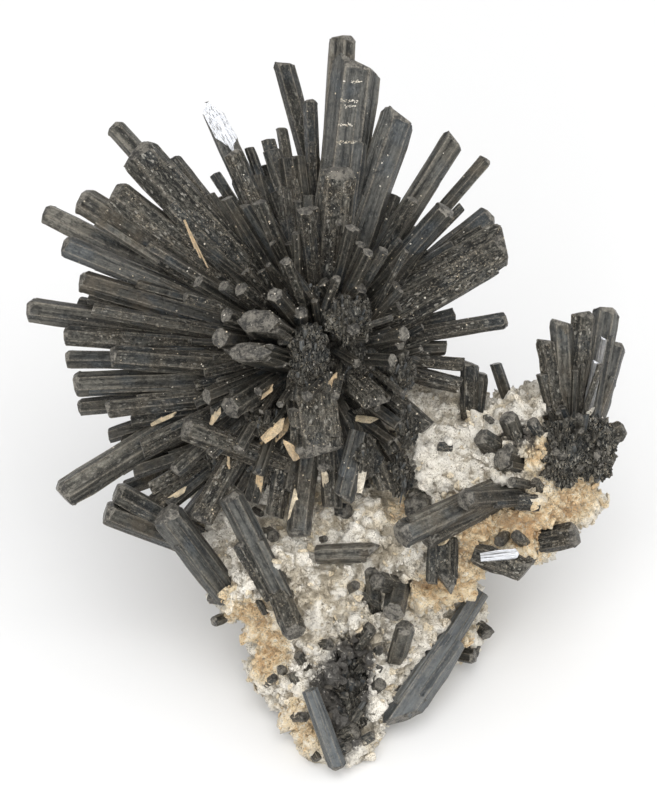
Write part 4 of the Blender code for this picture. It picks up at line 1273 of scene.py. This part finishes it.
def strew(name, shape, count, sizes, lean, seed):
    bundle = Bundle(seed)
    draw = bundle.draw
    faces = rock.data.polygons
    centres = np.empty(len(faces) * 3)
    faces.foreach_get("center", centres)
    normals = np.empty(len(faces) * 3)
    faces.foreach_get("normal", normals)
    centres, normals = centres.reshape(-1, 3) / MM, normals.reshape(-1, 3)
    for _ in range(count):
        i = draw.randrange(len(faces))
        at, normal = Vector(centres[i]), Vector(normals[i])
        size = draw.uniform(*sizes) * draw.uniform(0.6, 1.0)
        if at.z < LOWEST_CHIP or normal.z < OVERHANG:
            continue
        stain = draw.choice((0.0, 0.0, 0.0, 0.12, 0.35))
        axes = np.array(turned(normal, draw, lean))
        stretch = np.array((size, size * draw.uniform(0.55, 1.0), size))
        local = shape.points * stretch
        bundle.add(shape, np.array(at + normal * size * 0.12) + local @ axes, local, (stain, 0, 0, 0))
    bundle.piece(name, crust, "pale_crust")


strew("crust_chips", CHIP, CHIPS, (0.5, 2.6), 1.2, 21)
strew("crust_grains", GRAIN, GRAINS, (0.3, 0.8), 0.6, 22)

# %% [markdown]
# Small black crystals lie all over the rock, half sunk in it. Each is given by the places in the
# picture where it starts and ends. A line from the camera through such a place is followed until it
# meets the rock, so that the crystal sits on the rock and not in front of it, from any side.

# %% Small crystals on the rock
SUNK = 1.2  # how far a root lies under the skin
LOWEST_END = 1.2  # an end near the underside is raised to this height
# Start and end in the picture, width, how far the tip rises, end and named finish.
SCATTERED = (
    ((232, 622), (212, 624), 1.5, 1.4, "blunt", ""),
    ((228, 606), (211, 597), 1.7, 1.0, "falling", "dark"),
    ((249, 600), (266, 614), 1.0, 0.9, "flat", "dark"),
    ((259, 687), (275, 676), 1.2, 1.4, "flat", ""),
    ((277, 678), (281, 668), 1.4, 1.0, "roof", "pale"),
    ((285, 710), (306, 716), 1.5, 1.4, "roof", "speckled"),
    ((318, 640), (330, 644), 1.7, 1.6, "flat", "dark"),
    ((315, 672), (297, 652), 1.5, 1.8, "blunt", ""),
    ((303, 686), (291, 671), 1.4, 1.6, "flat", "dark"),
    ((252, 503), (262, 514), 1.0, 1.2, "flat", "tan"),
    ((262, 527), (274, 536), 1.9, 1.6, "flat", "dark"),
    ((330, 508), (350, 511), 2.2, 1.4, "blunt", "dark"),
    ((318, 545), (326, 538), 1.0, 0.8, "flat", ""),
    ((367, 585), (369, 570), 1.1, 1.8, "flat", "dark"),
    ((350, 597), (356, 584), 1.5, 1.8, "flat", ""),
    ((356, 590), (378, 603), 1.5, 2.2, "flat", "dark"),
    ((352, 648), (372, 625), 2.0, 1.6, "falling", "dark"),
    ((360, 668), (380, 648), 1.4, 1.6, "flat", "dark"),
    ((372, 682), (380, 664), 1.2, 1.4, "flat", ""),
    ((362, 690), (381, 682), 1.9, 1.8, "blunt", "dark"),
    ((352, 722), (360, 708), 1.6, 1.2, "flat", "dark"),
    ((333, 738), (358, 728), 2.6, 2.0, "blunt", "speckled"),
    ((362, 740), (375, 733), 1.5, 1.0, "roof", "speckled"),
    ((338, 752), (350, 745), 1.6, 1.2, "roof", "speckled"),
    ((303, 746), (318, 760), 1.5, 0.8, "flat", "dark"),
    ((487, 412), (491, 421), 1.0, 1.2, "flat", "dark"),
    ((495, 452), (476, 437), 1.3, 1.8, "blunt", ""),
    ((522, 462), (506, 448), 1.8, 2.0, "falling", "dark"),
    ((527, 452), (508, 420), 2.0, 2.2, "blunt", "dark"),
    ((545, 438), (530, 420), 1.8, 2.0, "blunt", "dark"),
    ((527, 486), (510, 481), 1.3, 1.6, "blunt", ""),
    ((551, 500), (534, 480), 1.5, 1.4, "flat", "dark"),
    ((538, 498), (512, 500), 2.6, 2.4, "blunt", ""),
    ((528, 541), (514, 534), 1.7, 1.6, "blunt", "dark"),
    ((509, 534), (498, 542), 1.7, 1.6, "flat", "dark"),
    ((556, 531), (547, 535), 1.6, 1.4, "blunt", "dark"),
    ((538, 553), (528, 562), 1.5, 1.0, "flat", "dark"),
    ((496, 588), (504, 578), 1.3, 1.2, "flat", "dark"),
    ((482, 602), (504, 594), 2.0, 1.2, "falling", "dark"),
    ((478, 622), (494, 642), 2.2, 1.4, "falling", "speckled"),
    ((478, 648), (466, 662), 2.8, 1.6, "roof", "dark"),
    ((462, 650), (480, 664), 2.2, 1.2, "blunt", ""),
    ((494, 572), (506, 590), 2.0, 1.4, "blunt", "dark"),
    ((500, 590), (488, 604), 1.8, 1.2, "flat", ""),
    ((449, 440), (437, 446), 1.3, 1.4, "flat", "dark"),
    ((565, 470), (590, 455), 1.4, 1.6, "falling", "dark"),
    ((408, 520), (398, 530), 1.2, 1.4, "flat", "dark"),
)


def sight(across, down):
    """The way from the camera through a place in the picture."""
    return (seen(across, down) - EYE_PLACE).normalized()


def land(across, down):
    """Where the line of sight through a place in the picture meets the rock, and the rock's slope."""
    spot, normal, _, _ = ROCK.ray_cast(EYE_PLACE, sight(across, down))
    return spot, normal


scattered = Bundle(31)
missed = 0
for start, stop, width, rise, end, finish in SCATTERED:
    root, root_normal = land(*start)
    tip, _ = land(*stop)
    if root is None and tip is None:
        missed += 1
        continue
    root = root or tip + RIGHT * 1.5
    tip = tip or seen(*stop, (root - FRONT_TIP).dot(OUT))
    root_normal = root_normal or OUT
    tip = tip + OUT * rise
    root = root - root_normal * SUNK
    if root.z < 1.0 or tip.z < 1.0:
        root.z, tip.z = max(root.z, LOWEST_END), max(tip.z, LOWEST_END)
    scattered.crystal(root, tip, width, width * 0.85, 15.0, end, finish)
scattered.piece("scattered_crystals", stibnite, "stibnite")
print("places off the rock:", missed)

# %% [markdown]
# Cream and tan leaves of the rock stand between the lowest crystals of the burst, where the crust
# grew up into it. Each row gives two places in the picture, a width and how tan it is. The line of
# sight through its middle is followed to the burst or to the rock, and the leaf stands there. A leaf
# is three thin slivers from one root, because the real ones are split.

# %% Leaves between the crystals
LEAF_THICK = 0.35
SPLITS = ((1.0, 0.8, -20), (0.8, 0.6, 25), (0.6, 0.5, 70))  # length, width and turn of its slivers
LEAVES = (
    ((260, 450), (295, 414), 2.6, 1.50),
    ((264, 440), (284, 420), 1.6, 1.20),
    ((297, 459), (290, 438), 1.4, 1.50),
    ((252, 406), (276, 385), 0.7, 0.90),
    ((327, 391), (338, 374), 1.4, 1.50),
    ((356, 418), (376, 421), 1.3, 0.50),
    ((258, 494), (262, 462), 1.3, 1.20),
    ((326, 490), (322, 466), 1.2, 0.35),
    ((358, 492), (361, 456), 1.7, 0.20),
    ((150, 425), (176, 413), 0.8, 0.60),
    ((212, 424), (221, 408), 0.8, 0.70),
    ((230, 478), (229, 450), 0.4, 0.90),
    ((288, 526), (296, 488), 0.9, 0.40),
    ((186, 222), (211, 270), 0.25, 1.50),
    ((168, 500), (186, 488), 0.9, 0.60),
)


def first_met(across, down, trees):
    """The nearest place that the line of sight meets on any of these meshes."""
    hits = [tree.ray_cast(EYE_PLACE, sight(across, down)) for tree in trees]
    hits = [hit for hit in hits if hit[0]]
    return min(hits, key=lambda hit: hit[3])[0] if hits else None


BURST = tree_of(bpy.data.objects["burst"])
leaves = Bundle(41)
for start, stop, width, stain in LEAVES:
    middle = ((start[0] + stop[0]) / 2, (start[1] + stop[1]) / 2)
    spot = first_met(*middle, (BURST, ROCK))
    if spot is None:
        continue
    depth = (spot - FRONT_TIP).dot(OUT)
    root, tip = seen(*start, depth - 0.3), seen(*stop, depth + 0.7)
    for share, narrow, turn in SPLITS:
        top = root + (tip - root) * share + RIGHT * leaves.draw.uniform(-0.5, 0.5)
        turn += leaves.draw.uniform(-12, 12)
        leaves.crystal(root, top, width * narrow, LEAF_THICK, turn, "point", tone=(stain, 1, 0, 0))
leaves.piece("crust_leaves", crust, "pale_crust")

# %% [markdown]
# Fine cream dust clings to the crystals, most of it on faces that look up or out. It is strewn the way
# it falls: lines are followed from random places towards the burst, and a tiny chip lies where each
# line first meets a crystal. The tallest crystal also has five thin rows of it across its front.

# %% Dust on the crystals
DUST_CHIPS = 900
DUST_SIZES = (0.12, 0.42)
DUST_SPREAD = 13.0  # how far round the heart the dust falls
DUST_START = 90.0  # how far away it starts
# Rows of dust on the tallest crystal: place down the picture, first and last place across, and number.
BANDS = (
    (82, 343, 362, 34),
    (101, 340, 358, 30),
    (106, 345, 356, 16),
    (125, 338, 352, 26),
    (142, 336, 356, 36),
)


def add_dust(bundle, spot, normal, stain):
    draw = bundle.draw
    size = draw.uniform(*DUST_SIZES) * draw.uniform(0.5, 1.0)
    axes = np.array(turned(normal, draw, 0.3))
    local = GRAIN.points * np.array((size, size * draw.uniform(0.5, 1.0), size * 0.5))
    bundle.add(GRAIN, np.array(spot) + local @ axes, local, (stain, 0, 0, 0))


dust = Bundle(51)
for _ in range(DUST_CHIPS):
    aim = from_heart([dust.draw.gauss(0, DUST_SPREAD) for _ in range(3)])
    lean = (OUT + Vector((0, 0, 0.6)) + Vector([dust.draw.gauss(0, 0.5) for _ in range(3)])).normalized()
    spot, normal, _, _ = BURST.ray_cast(aim + lean * DUST_START, -lean)
    if spot:
        add_dust(dust, spot, normal, dust.draw.choice((0.0, 0.15, 0.4)))
for down, first, last, count in BANDS:
    for i in range(count):
        across = first + (last - first) * (i + dust.draw.uniform(0, 1)) / count
        way = sight(across, down + dust.draw.gauss(0, 0.8))
        spot, normal, _, _ = BURST.ray_cast(EYE_PLACE, way)
        if spot:
            add_dust(dust, spot, normal, 0.1)
dust.piece("crystal_dust", crust, "pale_crust")
